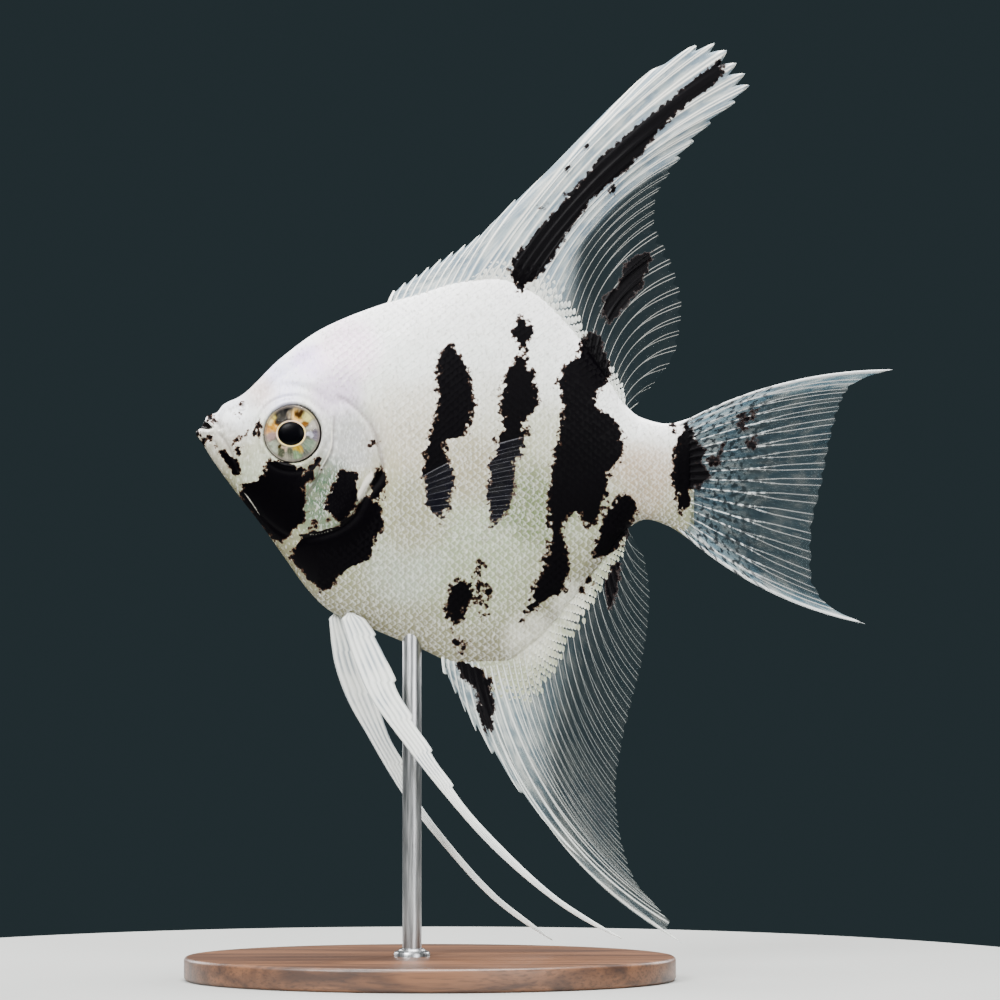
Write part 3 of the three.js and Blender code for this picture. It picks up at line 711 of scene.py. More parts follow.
def scale_outline():
    """One scale's grid: the share along it, across it from -1 to 1, and its faces with a base."""
    line = np.linspace(0, 1, SCALE_STEPS + 1)
    along, across = np.meshgrid(line, 2 * line - 1, indexing="ij")
    number = np.arange((SCALE_STEPS + 1) ** 2).reshape(SCALE_STEPS + 1, -1)
    corners = [number[:-1, :-1], number[1:, :-1], number[1:, 1:], number[:-1, 1:]]
    rim = np.concatenate([number[0, :-1], number[:-1, -1], number[-1, :0:-1], number[:0:-1, 0]])
    base = np.stack([rim, np.roll(rim, -1), np.full(len(rim), number.size)], -1)
    quads = np.stack(corners, -1).reshape(-1, 4)
    return np.append(along, 0.5), np.append(across, 0), quads, base


def scale_form(size, rng):
    """For each scale: how far its points lie along and across from its tip, and how high, in mm."""
    along, across, quads, base = scale_outline()
    count = len(size)
    long = (SCALE_LENGTH * size * rng.uniform(0.94, 1.06, count))[:, None]
    behind = long * ((along - 1) - 0.24 * along * across**2)[None]
    width = 0.62 + 0.38 * np.sin(np.pi * np.minimum(along * 0.8 + 0.12, 1))
    aside = (SCALE_ROW * 0.53 * size)[:, None] * (across * width)[None]
    aside = aside + rng.uniform(-0.06, 0.06, count)[:, None] * behind
    lift = (-0.11 + 0.15 * along**0.9 + 0.02 * (1 - across**2) * along)[None]
    lift[:, -1] = -0.2
    lift = lift * (size * rng.uniform(0.85, 1.1, count))[:, None]
    return behind, aside, lift


def joined_scales(name, spots, notes, roots):
    """Joins scales of one piece: their points, the numbers noted on them, and their bake map."""
    along, across, quads, base = scale_outline()
    count, points = len(roots), len(along)
    faces = []
    for first in range(0, count * points, points):
        faces += (quads + first).tolist()
        faces += (base + first).tolist()
    mesh = bpy.data.meshes.new(name)
    mesh.from_pydata((spots * MM).tolist(), [], faces)
    coat = bpy.data.objects.new(name, mesh)
    bpy.context.scene.collection.objects.link(coat)
    for label, values in notes.items():
        note(coat, label, np.broadcast_to(values, (count, points)).ravel())
    note(coat, "free", np.tile(along, count))
    patch = np.stack([along - 0.5, across / 2], -1) * SCALE_PATCH
    places = (roots[:, None] + patch[None]).reshape(-1, 2)
    loops = np.empty(len(mesh.loops), int)
    mesh.loops.foreach_get("vertex_index", loops)
    mesh.uv_layers.new(name="OFBake").data.foreach_set("uv", places[loops].ravel())
    seal(coat)
    bpy.ops.object.shade_smooth_by_angle(angle=1.0)
    return coat


def scale_tips(first_x, last_x, size_of):
    """Scale tips in staggered rows: their x, their height, and for each one its x, its way up
    from mid-flank and its size."""
    tips = []
    x = first_x
    file = 0
    while x < last_x:
        size = size_of(x)
        file += 1
        x += SCALE_PITCH * size
        waist = level_way(np.array([x]))[0]
        total = around(np.array([x]), np.ones(1), True)[0]
        reach = int(total / (SCALE_ROW * size)) + 2
        ups = (np.arange(-reach, reach + 1) + 0.5 * (file % 2)) * SCALE_ROW * size
        ups = ups[(ups + waist > 0.006 * total + 0.2) & (ups + waist < 0.994 * total - 0.2)]
        tips += [(x, up, size) for up in ups]
    x, up, size = np.array(tips).T
    z = hide(x, around(x, level_way(x) + up, False))[1]
    return x, z, np.stack([x, up, size])


def side_scales(name, side):
    """One side's scales: large ones behind the gill opening, small ones on the gill cover."""
    rng = np.random.default_rng(SCALE_SEED + side)
    x, z, tips = scale_tips(-24, 42.6, lambda at: 1 - 0.25 * smooth(24, 42, at))
    inside = np.minimum(from_line(x, z, GILL_EDGE)[0] - 1.3, x + 17)
    inside = np.maximum(inside, np.minimum(z - 97, x + 20.5 - 0.35 * (108 - z)))
    inside = np.maximum(inside, np.minimum(74 - z, x + 20.5))
    sink = 0.11 * (1 - smooth(0, 3.5, inside))
    flank_tips = np.vstack([tips, sink])[:, inside > 0]
    x, z, tips = scale_tips(-20, -7, lambda at: GILL_SCALE)
    inside = np.minimum(-0.5 - from_line(x, z, GILL_EDGE)[0], from_line(x, z, CHEEK_EDGE)[0] - 0.6)
    inside = np.minimum(inside, np.minimum(95.2 - z, z - 76))
    sink = 0.02 + 0.07 * (1 - smooth(0, 1.6, inside))
    gill_tips = np.vstack([tips, sink])[:, inside > 0]
    x, up, size, sink = np.hstack([flank_tips, gill_tips])
    behind, aside, lift = scale_form(size, rng)
    x = x + rng.normal(0, 0.09, len(x))
    up = up + rng.normal(0, 0.11, len(x))
    lift = lift - sink[:, None]
    flat_x = (x[:, None] + behind).ravel()
    flat_up = level_way(flat_x) + (up[:, None] + aside).ravel()
    flat_s = np.clip(around(flat_x, flat_up, False), -0.996, 0.996)
    y, z = hide(flat_x, flat_s)
    rear_y, rear_z = hide(flat_x + 0.1, flat_s)
    high_y, high_z = hide(flat_x, flat_s + 0.003)
    way_rear = np.stack([np.full_like(y, 0.1), rear_y - y, rear_z - z], 1)
    way_high = np.stack([np.zeros_like(y), high_y - y, high_z - z], 1)
    normal = np.cross(way_high, way_rear)
    normal *= np.sign(normal[:, 1])[:, None] / (np.linalg.norm(normal, axis=1)[:, None] + 1e-12)
    past_gill = from_line(flat_x, z, GILL_EDGE)[0].reshape(behind.shape)
    on_flank = np.arange(len(x))[:, None] < flank_tips.shape[1]
    lift = lift - 0.5 * (1 - smooth(0.2, 0.9, past_gill)) * on_flank
    spots = np.stack([flat_x, y, z], 1) + normal * lift.reshape(-1, 1)
    spots[:, 1] *= side
    own_mark = mark_depth(flat_x, z).reshape(behind.shape)
    tip_mark = own_mark.mean(axis=1) + rng.normal(0, 0.15, len(x))
    root_up = level_way(x) + up
    notes = {
        "mark": 0.4 * tip_mark[:, None] + 0.6 * own_mark,
        "rise": around(x, root_up, False)[:, None],
        "tint": rng.uniform(0, 1, len(x))[:, None],
    }
    return joined_scales(name, spots, notes, bake_place(x, root_up, side))


scale_finish, scale_shader, wires = finish_of(
    "angelfish_scales", Coat_Roughness=0.16, Specular_IOR_Level=0.05
)
tint = wires.read("tint")
free = wires.read("free")
# Each scale's own random tint, plus painted shade on its root half, where it lies under the scales ahead of
# it.
coloured, edge, fleck = coat_colour(wires, tint * 0.2 + 0.09 * (1 - free.step(0.5, 0.85)))
pale = 1 - edge.step(-0.3, 0.05)
# A painted highlight along each scale's free rear rim, on the pale ground only.
coloured = (free.step(0.72, 0.95) * 0.3 * pale).blend(coloured, rgb(255, 255, 252))
coloured.feed(scale_shader, "Base Color")
(0.5 * pale).feed(scale_shader, "Coat Weight")
(0.36 + 0.14 * fleck + 0.08 * tint + 0.2 * (1 - pale)).feed(scale_shader, "Roughness")
for side, side_name in ((-1, "left"), (1, "right")):
    coat = side_scales("scales_" + side_name, side)
    dress(coat, scale_finish, "skin")


# ---------------------------------------------------------------------------------------------
# The eyes: a hard ball in its socket with a raised ring of gold round the pupil, a patchy gold
# and silver iris that lies a little hollow, and a clear dome over it, which stands proud of
# the head. They are glass in a museum's model, and each sits in a socket of the skin.
# ---------------------------------------------------------------------------------------------
EYE_TURN = 0.12
EYE_GROWTH = 1.045
PUPIL_RADIUS = 2.12
PUPIL_SQUASH = 0.12
EYE_PROFILE = [
    (0.0, 1.18), (0.5, 1.17), (1.0, 1.12), (1.5, 1.02), (1.9, 0.88), (2.08, 0.76), (2.16, 0.7),
    (2.2, 0.78), (2.28, 0.84), (2.38, 0.83), (2.5, 0.72), (2.8, 0.6), (3.3, 0.5), (3.8, 0.44),
    (4.2, 0.4), (4.36, 0.42), (4.46, 0.4), (4.56, 0.2), (4.62, -0.1), (4.6, -0.6), (4.2, -1.1), (0.0, -1.5),
]
CORNEA_PROFILE = [
    (0.0, 1.74), (0.6, 1.72), (1.2, 1.65), (1.8, 1.54), (2.4, 1.38), (3.0, 1.16), (3.5, 0.93),
    (3.9, 0.7), (4.2, 0.5), (4.42, 0.3), (4.55, 0.14), (4.57, 0.05), (4.4, 0.0), (0.0, 0.0),
]
IRIS_PATCHES = [
    (-3.2, 1.5, 1.8, rgb(212, 166, 72)), (-3.7, 2.1, 0.7, rgb(240, 222, 160)),
    (-4.0, 0.5, 0.8, rgb(222, 178, 120)), (-2.8, 3.0, 0.7, rgb(216, 200, 120)),
    (0.9, 2.9, 1.3, rgb(226, 190, 120)), (1.3, 3.3, 0.85, rgb(92, 64, 8)),
    (2.7, 2.9, 1.2, rgb(230, 222, 160)), (2.2, 1.7, 0.55, rgb(150, 112, 56)),
    (3.5, 1.3, 0.9, rgb(208, 202, 194)), (4.0, -0.2, 1.0, rgb(150, 144, 156)),
    (3.0, -0.1, 0.55, rgb(216, 216, 226)), (3.0, -1.9, 1.1, rgb(152, 170, 152)),
    (1.1, -2.5, 0.8, rgb(216, 188, 84)), (0.8, -3.5, 0.7, rgb(160, 182, 150)),
    (-0.2, -3.0, 0.55, rgb(128, 132, 114)), (-1.1, -2.7, 0.45, rgb(226, 206, 184)),
    (-1.9, -3.1, 0.7, rgb(112, 116, 98)), (-3.2, -2.1, 1.1, rgb(192, 198, 182)),
    (-3.3, -0.4, 0.9, rgb(190, 168, 162)), (-1.7, -2.3, 0.35, rgb(92, 80, 28)),
    (-1.5, 3.8, 1.45, rgb(8, 6, 24)), (-0.1, 4.3, 0.6, rgb(64, 68, 76)),
    (-1.7, 2.4, 1.05, rgb(26, 16, 14)), (-0.5, 2.7, 0.75, rgb(34, 20, 14)),
    (-0.4, 3.4, 0.5, rgb(140, 128, 108)),
]


def turned_piece(name, profile, sides=96):
    """A round piece turned from a profile of (radius, height) in mm, and where its points lie
    across, up and along its axis."""
    radii, heights = np.array(profile).T
    piece, column, row = grid_piece(name, sides + 1, len(profile))
    angle = column / sides * 2 * math.pi
    return piece, radii[row] * np.cos(angle), radii[row] * np.sin(angle), heights[row]


def set_in_socket(piece, side, across, up, out):
    """Puts a turned piece in the eye socket of one side, looking a little forward."""
    note(piece, "dial_x", across)
    note(piece, "dial_z", up)
    inner = 1 - smooth(2.6, 4.2, np.hypot(across, up))
    across = (across - 0.09 * inner) * EYE_GROWTH
    up = up * (1 - PUPIL_SQUASH * inner) * EYE_GROWTH
    x = EYE_X + across * math.cos(EYE_TURN) - out * math.sin(EYE_TURN)
    y = EYE_OUT + across * math.sin(EYE_TURN) + out * math.cos(EYE_TURN)
    move_points(piece, x, side * y, EYE_Z + up)
    seal(piece)


eye_finish, eye_shader, wires = finish_of("painted_eye", Specular_IOR_Level=0.06)
dial_x = wires.read("dial_x")
dial_z = wires.read("dial_z")
from_middle = (dial_x * dial_x + dial_z * dial_z).maths("SQRT", dial_x * dial_x + dial_z * dial_z)
here = wires.here()
grain = wires.noise(here, 1500.0, 4.0)
cloud = wires.noise(here, 520.0)
sway_x = wires.noise(here, 1000.0, 3.0) - 0.5
far = wires.node("ShaderNodeMapping", {}, {0: here, 1: (1.7, 0.3, 2.9)})
sway_z = wires.noise(far, 1000.0, 3.0) - 0.5
around_x = dial_x / from_middle
around_z = dial_z / from_middle
fan = wires.node("ShaderNodeCombineXYZ", {}, {0: around_x, 1: around_z, 2: from_middle * 0.06})
spokes = wires.noise(fan, 9.0, 3.0)
iris = cloud.step(0.35, 0.65).blend(rgb(132, 136, 128), rgb(176, 172, 156))
for patch_x, patch_z, radius, colour in IRIS_PATCHES:
    away_x = dial_x + sway_x * 1.3 - patch_x
    away_z = dial_z + sway_z * 1.3 - patch_z
    near = 1 - ((away_x * away_x + away_z * away_z) / radius**2).step(0.15, 1.5)
    iris = near.blend(iris, colour)
iris = (0.18 * spokes.step(0.5, 0.68)).blend(iris, rgb(246, 240, 220))
iris = (0.2 * (1 - spokes.step(0.32, 0.48))).blend(iris, rgb(58, 48, 40))
iris = (0.22 * (1 - grain.step(0.32, 0.5))).blend(iris, rgb(70, 60, 48))
iris = (0.2 * grain.step(0.56, 0.74)).blend(iris, rgb(238, 232, 212))
iris = (from_middle.step(4.0, 4.2) * 0.6).blend(iris, rgb(152, 144, 138))
# The ball's rim, where it turns down into the socket, is painted dark: a painted shade line.
iris = (from_middle.step(4.42, 4.5) * 0.9).blend(iris, rgb(46, 38, 40))
ring = from_middle.step(2.1, 2.2) * (1 - from_middle.step(2.34, 2.46))
iris = ring.blend(iris, cloud.step(0.4, 0.6).blend(rgb(250, 226, 206), rgb(250, 232, 170)))
iris = wires.node("ShaderNodeGamma", {}, {0: iris, 1: 1.5})
(1 - from_middle.step(PUPIL_RADIUS - 0.04, PUPIL_RADIUS + 0.06)).blend(iris, rgb(1, 1, 3)).feed(
    eye_shader, "Base Color"
)
(0.22 + 0.2 * grain).feed(eye_shader, "Roughness")
(from_middle.step(2.4, 2.6) * 0.25).feed(eye_shader, "Metallic")

dome_finish, dome_shader, wires = finish_of(
    "clear_dome", Roughness=0.02, Alpha=0.035, Specular_IOR_Level=0.4
)
dome_cloud = wires.noise(wires.here(), 300.0)
dome_cloud.step(0.3, 0.7).blend(rgb(20, 22, 26), rgb(34, 36, 40)).feed(dome_shader, "Base Color")

for side, side_name in ((-1, "left"), (1, "right")):
    ball, across, up, out = turned_piece("eyeball_" + side_name, EYE_PROFILE)
    set_in_socket(ball, side, across, up, out)
    dress(ball, eye_finish, "eye", "eye_" + side_name)
    dome, across, up, out = turned_piece("eye_dome_" + side_name, CORNEA_PROFILE)
    set_in_socket(dome, side, across, up, out)
    dress(dome, dome_finish, "eye")


# ---------------------------------------------------------------------------------------------
# The sails and the tail: a web of clear to milky skin stretched over bony rays. The front rays
# are plain spines whose tips stand free; the others split on their way out and carry the web to
# its edge. The roots stand in the back, the belly and the tail stalk.
# ---------------------------------------------------------------------------------------------
SAILS = {
    "dorsal": {
        "node": "dorsal_fin",
        "rays": 39,
        "roots": [(-7.4, 112), (1, 114.6), (9, 115.6), (17, 113.4), (24, 106), (29.5, 98.6), (33, 94.6)],
        "edge": [
            (0, -6.2, 115, 0.03), (4, 1.8, 120.3, 0.04), (7, 8.2, 124.3, 0.04), (9, 14.2, 130.2, 0.04),
            (10, 18.8, 134.2, 0.04), (11, 36.8, 151.8, 0.022), (12, 44.2, 156, 0.045),
            (13, 47.5, 156.4, 0.055), (15, 51.2, 153, 0.065), (17, 53.4, 149.3, 0.075),
            (19, 46.8, 142.8, 0.09), (21, 41.8, 137, 0.1), (24, 37.8, 130, 0.12), (26, 37.6, 126.7, 0.13),
            (29, 40.3, 120, 0.15), (32, 42.1, 112.8, 0.16), (35, 41.2, 105.4, 0.15), (38, 34.6, 96, 0.04),
        ],
        "notch": [(0, 0.3), (10, 0.13), (12, 0.04), (20, 0.05), (38, 0.03)],
        "spines": 11,
        "sway": 2.4,
        "splits": ((0.5, 0.9, 0.13), (0.6, 0.9, 0.0)),
        "thick": [(0, 0.26), (10, 0.26), (19, 0.2), (22, 0.1), (38, 0.09)],
        "milk": [(0, 0.75), (17, 0.8), (21, 0.6), (24, 0.08), (27, 0.02), (38, 0.016)],
        "tip_milk": [
            (0, 0.36), (9, 0.42), (11, 0.55), (18, 0.6), (20, 0.6), (21.5, 0.02), (25, 0.006), (38, 0.005),
        ],
        "bone": [(0, 1.0), (19, 1.0), (22, 0.55), (26, 0.45), (38, 0.45)],
        "tip_bone": [(0, 1.0), (20, 1.0), (21.5, 0.3), (26, 0.22), (38, 0.2)],
        "clears": (0.1, 0.4),
    },
    "anal": {
        "node": "anal_fin",
        "rays": 38,
        "roots": [(1.8, 55), (8, 54), (14, 55), (19.5, 59), (25, 66), (29.5, 71.6), (32.8, 75.8)],
        "edge": [
            (0, 2.2, 51.3, -0.02), (1, 4.3, 47.8, -0.03), (3, 7.7, 41.5, -0.04), (4, 10.3, 37.8, -0.04),
            (5, 14.8, 31.5, -0.05), (6, 21.7, 23.5, -0.07), (7, 42.2, 6.1, -0.124), (8, 39.9, 10, -0.115),
            (10, 37.5, 12.8, -0.09), (12, 34.9, 15.6, -0.09), (14, 33, 19.7, -0.09), (17, 31.5, 25.8, -0.09),
            (20, 31, 31.7, -0.09), (23, 31.8, 38.3, -0.09), (26, 33.5, 45.8, -0.09), (29, 35.2, 52.5, -0.09),
            (32, 36.3, 59.2, -0.09), (34, 36.6, 64.2, -0.09), (36, 35.8, 70, -0.09), (37, 33.8, 73.6, -0.04),
        ],
        "notch": [(0, 0.3), (5, 0.16), (8, 0.03), (20, 0.02), (37, 0.02)],
        "spines": 6,
        "sway": -2.0,
        "splits": ((0.35, 0.8, 0.2), (0.6, 0.9, 0.0)),
        "thick": [(0, 0.26), (8, 0.26), (13, 0.16), (18, 0.11), (37, 0.09)],
        "milk": [(0, 1.0), (10, 0.8), (16, 0.3), (24, 0.06), (30, 0.025), (37, 0.02)],
        "tip_milk": [
            (0, 0.8), (5, 0.6), (7, 0.12), (9, 0.06), (14, 0.03), (20, 0.014), (30, 0.008), (37, 0.006),
        ],
        "bone": [(0, 1.0), (12, 1.0), (18, 0.8), (28, 0.6), (37, 0.4)],
        "tip_bone": [(0, 1.0), (7, 0.8), (9, 0.4), (12, 0.25), (18, 0.15), (28, 0.12), (37, 0.1)],
        "clears": (0.1, 0.55),
    },
    "tail": {
        "node": "tail_fin",
        "rays": 18,
        "roots": [(40.6, 92.2), (41.6, 88.6), (42, 84), (41.6, 79.4), (40.4, 75.9)],
        "edge": [
            (0, 77.2, 101.8, 0.065), (1, 71.4, 99.8, 0.06), (2, 69.7, 98.3, 0.05), (4, 68.3, 95.3, 0.03),
            (6, 67, 90.7, 0.01), (9, 65.5, 83, 0), (12, 63.7, 73.8, -0.01), (14, 63.7, 67.5, -0.02),
            (15, 64.7, 64.7, -0.03), (16, 66.7, 62.3, -0.05), (17, 72.7, 59.3, -0.072),
        ],
        "notch": [(0, 0.02), (17, 0.02)],
        "spines": 0,
        "sway": 1.6,
        "splits": ((0.4, 0.75, 0.2), (0.6, 0.9, 0.0)),
        "thick": [(0, 0.22), (3, 0.12), (14, 0.12), (17, 0.22)],
        "milk": [(0, 0.8), (2, 0.55), (3.5, 0.16), (14, 0.12), (15.5, 0.4), (17, 0.8)],
        "tip_milk": [(0, 0.7), (1.1, 0.35), (2, 0.04), (15, 0.035), (16, 0.15), (17, 0.45)],
        "bone": [(0, 1.0), (2, 0.6), (9, 0.5), (15, 0.5), (17, 0.9)],
        "tip_bone": [(0, 1.0), (2, 0.35), (9, 0.22), (15, 0.2), (17, 0.8)],
        "clears": (0.1, 0.6),
    },
}
SAIL_ROWS = 42


def ray_columns(form, out):
    """Where the columns of a sail's mesh stand between its rays, and how much ray is under each.
    A soft ray splits in two, and each half again, on its way out."""
    rays = form["rays"]
    places, ridges = [], []
    for ray in range(rays):
        half = line_through(form["thick"], np.full(1, float(ray)))[0] * (1 - 0.35 * out)
        if ray in (0, rays - 1):
            inward = 1 if ray == 0 else -1
            steps = [(0.0, 0.6), (0.5, 1.0), (1.0, 1.0), (1.6, 0.9), (2.6, 0.0)][::inward]
            places += [ray + inward * half * step for step, _ in steps]
            ridges += [np.full(out.shape, height) for _, height in steps]
            continue
        soft = 0.0 if ray < form["spines"] else 1.0
        wide, narrow = (soft * size * smooth(start, end, out) for start, end, size in form["splits"])
        tines = [branch * wide + twig * narrow for branch in (-1, 1) for twig in (-1, 1)]
        offsets = [-0.5 + 0 * out]
        for branch in (-1, 1):
            middle = branch * wide
            inner = np.maximum(narrow - half, 0)
            shifts = (-narrow - half, -narrow, -inner, 0, inner, narrow, narrow + half)
            group = [middle + shift for shift in shifts]
            limit = np.minimum if branch < 0 else np.maximum
            offsets += [limit(place, 0) for place in group]
            if branch < 0:
                offsets.append(0 * out)
        for offset in offsets:
            near = np.min([np.abs(offset - tine) for tine in tines], axis=0)
            places.append(ray + offset)
            ridges.append(np.maximum(1 - near / half, 0))
    places.insert(len(places) - 5, np.full(out.shape, rays - 1.5))
    ridges.insert(len(ridges) - 5, 0 * out)
    return np.array(places), np.array(ridges)


def sail_place(form, place, share, deep=(0.42, 0.07)):
    """A spot on a fin's middle sheet: x, z, its distance from the middle plane, half its depth, its
    share of the way out with the notches cut, and 0 on an outer ray to 1 further in."""
    rays = form["rays"]
    edge = np.array(form["edge"])
    between = np.abs(place - np.rint(place)) * 2
    share = share * (1 - line_through(form["notch"], place) * between**1.2)
    root = rope(form["roots"], place / (rays - 1))
    tip_x, tip_z, bow = (line_through(edge[:, [0, axis]], place) for axis in (1, 2, 3))
    run_x, run_z = tip_x - root[:, 0], tip_z - root[:, 1]
    bend_x = root[:, 0] + run_x / 2 - run_z * 2 * bow
    bend_z = root[:, 1] + run_z / 2 + run_x * 2 * bow
    back = 1 - share
    x = back**2 * root[:, 0] + 2 * back * share * bend_x + share**2 * tip_x
    z = back**2 * root[:, 1] + 2 * back * share * bend_z + share**2 * tip_z
    rim = np.clip(np.minimum(place, rays - 1 - place) / 0.06, 0, 1)
    ripple = 0.12 * np.sin(place * 2.1 + share * 5) * smooth(0.15, 0.7, share) * rim
    half = deep[0] + (deep[1] - deep[0]) * share**0.6
    return x, z, form["sway"] * share**2 + ripple, half, share, rim


def sail_piece(name, form, deep=(0.42, 0.07), ridge_up=(0.16, 0.1), stand=None, marked=True):
    """A fin's web and rays as one closed sheet. stand gives its distance from the middle plane."""
    out = np.linspace(0, 1, SAIL_ROWS) ** 0.9
    places, ridges = ray_columns(form, out)
    columns = len(places)
    piece, column, row = grid_piece(name, 2 * columns, SAIL_ROWS)
    left = column < columns
    file = np.where(left, column, 2 * columns - 1 - column)
    place, ridge, share = places[file, row], ridges[file, row], out[row]
    x, z, y, half, reach, rim = sail_place(form, place, share, deep)
    if stand is not None:
        y = y + stand(reach)
    rim = rim * smooth(1.0, 0.985, share) * smooth(0, 0.02, share)
    half = (half + (ridge_up[0] + (ridge_up[1] - ridge_up[0]) * share) * ridge) * rim
    move_points(piece, x, y + np.where(left, -half, half), z)
    inner, outer = (line_through(form[web], place) for web in ("milk", "tip_milk"))
    far = smooth(*form["clears"], reach)
    note(piece, "web", inner + (outer - inner) * far)
    note(piece, "ray", ridge)
    inner, outer = (line_through(form[bone], place) for bone in ("bone", "tip_bone"))
    note(piece, "bone", inner + (outer - inner) * far)
    note(piece, "mark", mark_depth(x, z) if marked else np.full(x.shape, -9.0))
    note(piece, "file", place)
    note(piece, "out", reach)
    seal(piece)
    return piece


def sail_finish(name, web_colours, ray_colour, flecks=0.0):
    """Web and rays: how much of the light each stops is noted on the fin."""
    finish, shader, wires = finish_of(name, Specular_IOR_Level=0.08)
    here = wires.here()
    ray, web, bone, file, out = (wires.read(label) for label in ("ray", "web", "bone", "file", "out"))
    lie = wires.node("ShaderNodeCombineXYZ", {}, {0: file, 1: out * 4.0, 2: 0.0})
    streak = wires.noise(lie, 1.9, 6.0, Roughness=0.6)
    cloud = wires.noise(here, 230.0, 3.0)
    joint = wires.node("ShaderNodeCombineXYZ", {}, {0: file * 1.4, 1: out * 15.0, 2: 0.0})
    beads = wires.noise(joint, 1.7)
    colour = cloud.step(0.38, 0.62).blend(*web_colours)
    colour = (streak.step(0.45, 0.65) * 0.5).blend(colour, rgb(240, 240, 230))
    bony = ray.step(0.15, 0.8)
    colour = (bony * 0.9).blend(colour, ray_colour)
    thin = ray.step(0.45, 0.95) * bone
    if flecks:
        inner = 1 - out.step(0.4, 0.75)
        colour = (inner * (1 - beads.step(0.4, 0.5)) * flecks).blend(colour, rgb(24, 22, 30))
        thin = thin.greater(inner * ray.step(0.1, 0.6) * beads.step(0.5, 0.6) * 0.9)
    colour, edge = black_marks(wires, colour, rgb(66, 50, 46), streak, lobed=0.9, torn=3.0)
    colour.feed(shader, "Base Color")
    solid = (web * (0.6 + 0.8 * streak)).greater(thin)
    solid.greater(edge.step(-0.2, 0.1) * 0.98).feed(shader, "Alpha")
    (0.34 + 0.2 * cloud).feed(shader, "Roughness")
    streak.emboss(shader, 0.35)
    return finish


SAIL_FINISHES = {
    "dorsal": sail_finish("sail_web", (rgb(136, 156, 170), rgb(172, 186, 190)), rgb(252, 250, 240)),
    "anal": sail_finish("keel_web", (rgb(112, 130, 138), rgb(152, 164, 164)), rgb(232, 236, 230)),
    "tail": sail_finish("tail_web", (rgb(104, 136, 152), rgb(140, 164, 172)), rgb(220, 222, 220), 0.9),
}
for sail_name, form in SAILS.items():
    sail = sail_piece(sail_name + "_sail", form)
    dress(sail, SAIL_FINISHES[sail_name], "fin", form["node"])


# ---------------------------------------------------------------------------------------------
# The sheaths: small scales that climb from the back and the belly over the roots of the sails,
# getting smaller on the way out, on both faces.
# ---------------------------------------------------------------------------------------------
SHEATHS = {
    "dorsal": [(9, 0.06), (13, 0.12), (24, 0.18), (34, 0.22), (37, 0.2)],
    "anal": [(4, 0.1), (8, 0.16), (14, 0.24), (24, 0.26), (36, 0.3)],
    "tail": [(1, 0.08), (5, 0.12), (12, 0.12), (16, 0.08)],
}
SHEATH_SEED = 23


def sheath_scales(name, form, sheath):
    """The scales over one sail's root, on both faces: one file on each ray, one between."""
    rng = np.random.default_rng(SHEATH_SEED)
    spots = []
    for file in range(2 * sheath[0][0], 2 * sheath[-1][0]):
        place = np.full(1, file / 2)
        reach = line_through(sheath, place)[0] * rng.uniform(0.85, 1.1)
        (low_x, far_x), (low_z, far_z) = sail_place(form, np.repeat(place, 2), np.array([0.0, 0.3]))[:2]
        beside = sail_place(form, place + np.array([-0.5, 0.5]), np.full(2, 0.08))
        gap = math.hypot(beside[0][1] - beside[0][0], beside[1][1] - beside[1][0])
        size = float(np.clip(gap / SCALE_ROW, 0.5, 0.95))
        step = 2 * SCALE_PITCH * size * 0.3 / math.hypot(far_x - low_x, far_z - low_z)
        share = 0.5 * step * (file % 2)
        while share < reach:
            spots.append((file / 2, share, size * (1 - 0.5 * share / reach), share / reach))
            share += step
    place, share, size, far = np.array(spots).T
    x, z, y, half, _, _ = sail_place(form, place, share)
    near_x, near_z = sail_place(form, place, share + 0.01)[:2]
    run = np.hypot(near_x - x, near_z - z)
    way_x, way_z = (near_x - x) / run, (near_z - z) / run
    behind, aside, lift = scale_form(size, rng)
    aside = aside * (1 - 0.2 * scale_outline()[0] ** 2)
    lift = 0.12 + lift - 0.15 * far[:, None] ** 2
    both = []
    for side in (-1, 1):
        spot_x = x[:, None] + behind * way_x[:, None] - aside * way_z[:, None]
        spot_z = z[:, None] + behind * way_z[:, None] + aside * way_x[:, None]
        spot_y = y[:, None] + side * (half[:, None] + lift)
        both.append(np.stack([spot_x, spot_y, spot_z], -1).reshape(-1, 3))
    spots = np.concatenate(both)
    own_mark = mark_depth(spots[:, 0], spots[:, 2]).reshape(2 * len(x), -1)
    x = np.clip(x, BODY_FRONT, BODY_REAR - 0.1)
    middle = (line_through(BACK, x) + line_through(BELLY, x)) / 2
    # Each sheath takes the upper or the lower flank's colour, with its painted light from above.
    notes = {
        "mark": own_mark,
        "rise": np.tile(np.where(z > middle, 0.55, -0.3), 2)[:, None],
        "tint": rng.uniform(0, 1, 2 * len(x))[:, None],
    }
    edge_up = np.where(z > middle, around(x, 1 + 0 * x, True), 0)
    roots = [bake_place(x, edge_up, side) for side in (-1, 1)]
    return joined_scales(name, spots, notes, np.concatenate(roots))


for sail_name, sheath in SHEATHS.items():
    coat = sheath_scales(sail_name + "_sheath", SAILS[sail_name], sheath)
    dress(coat, scale_finish, "skin")


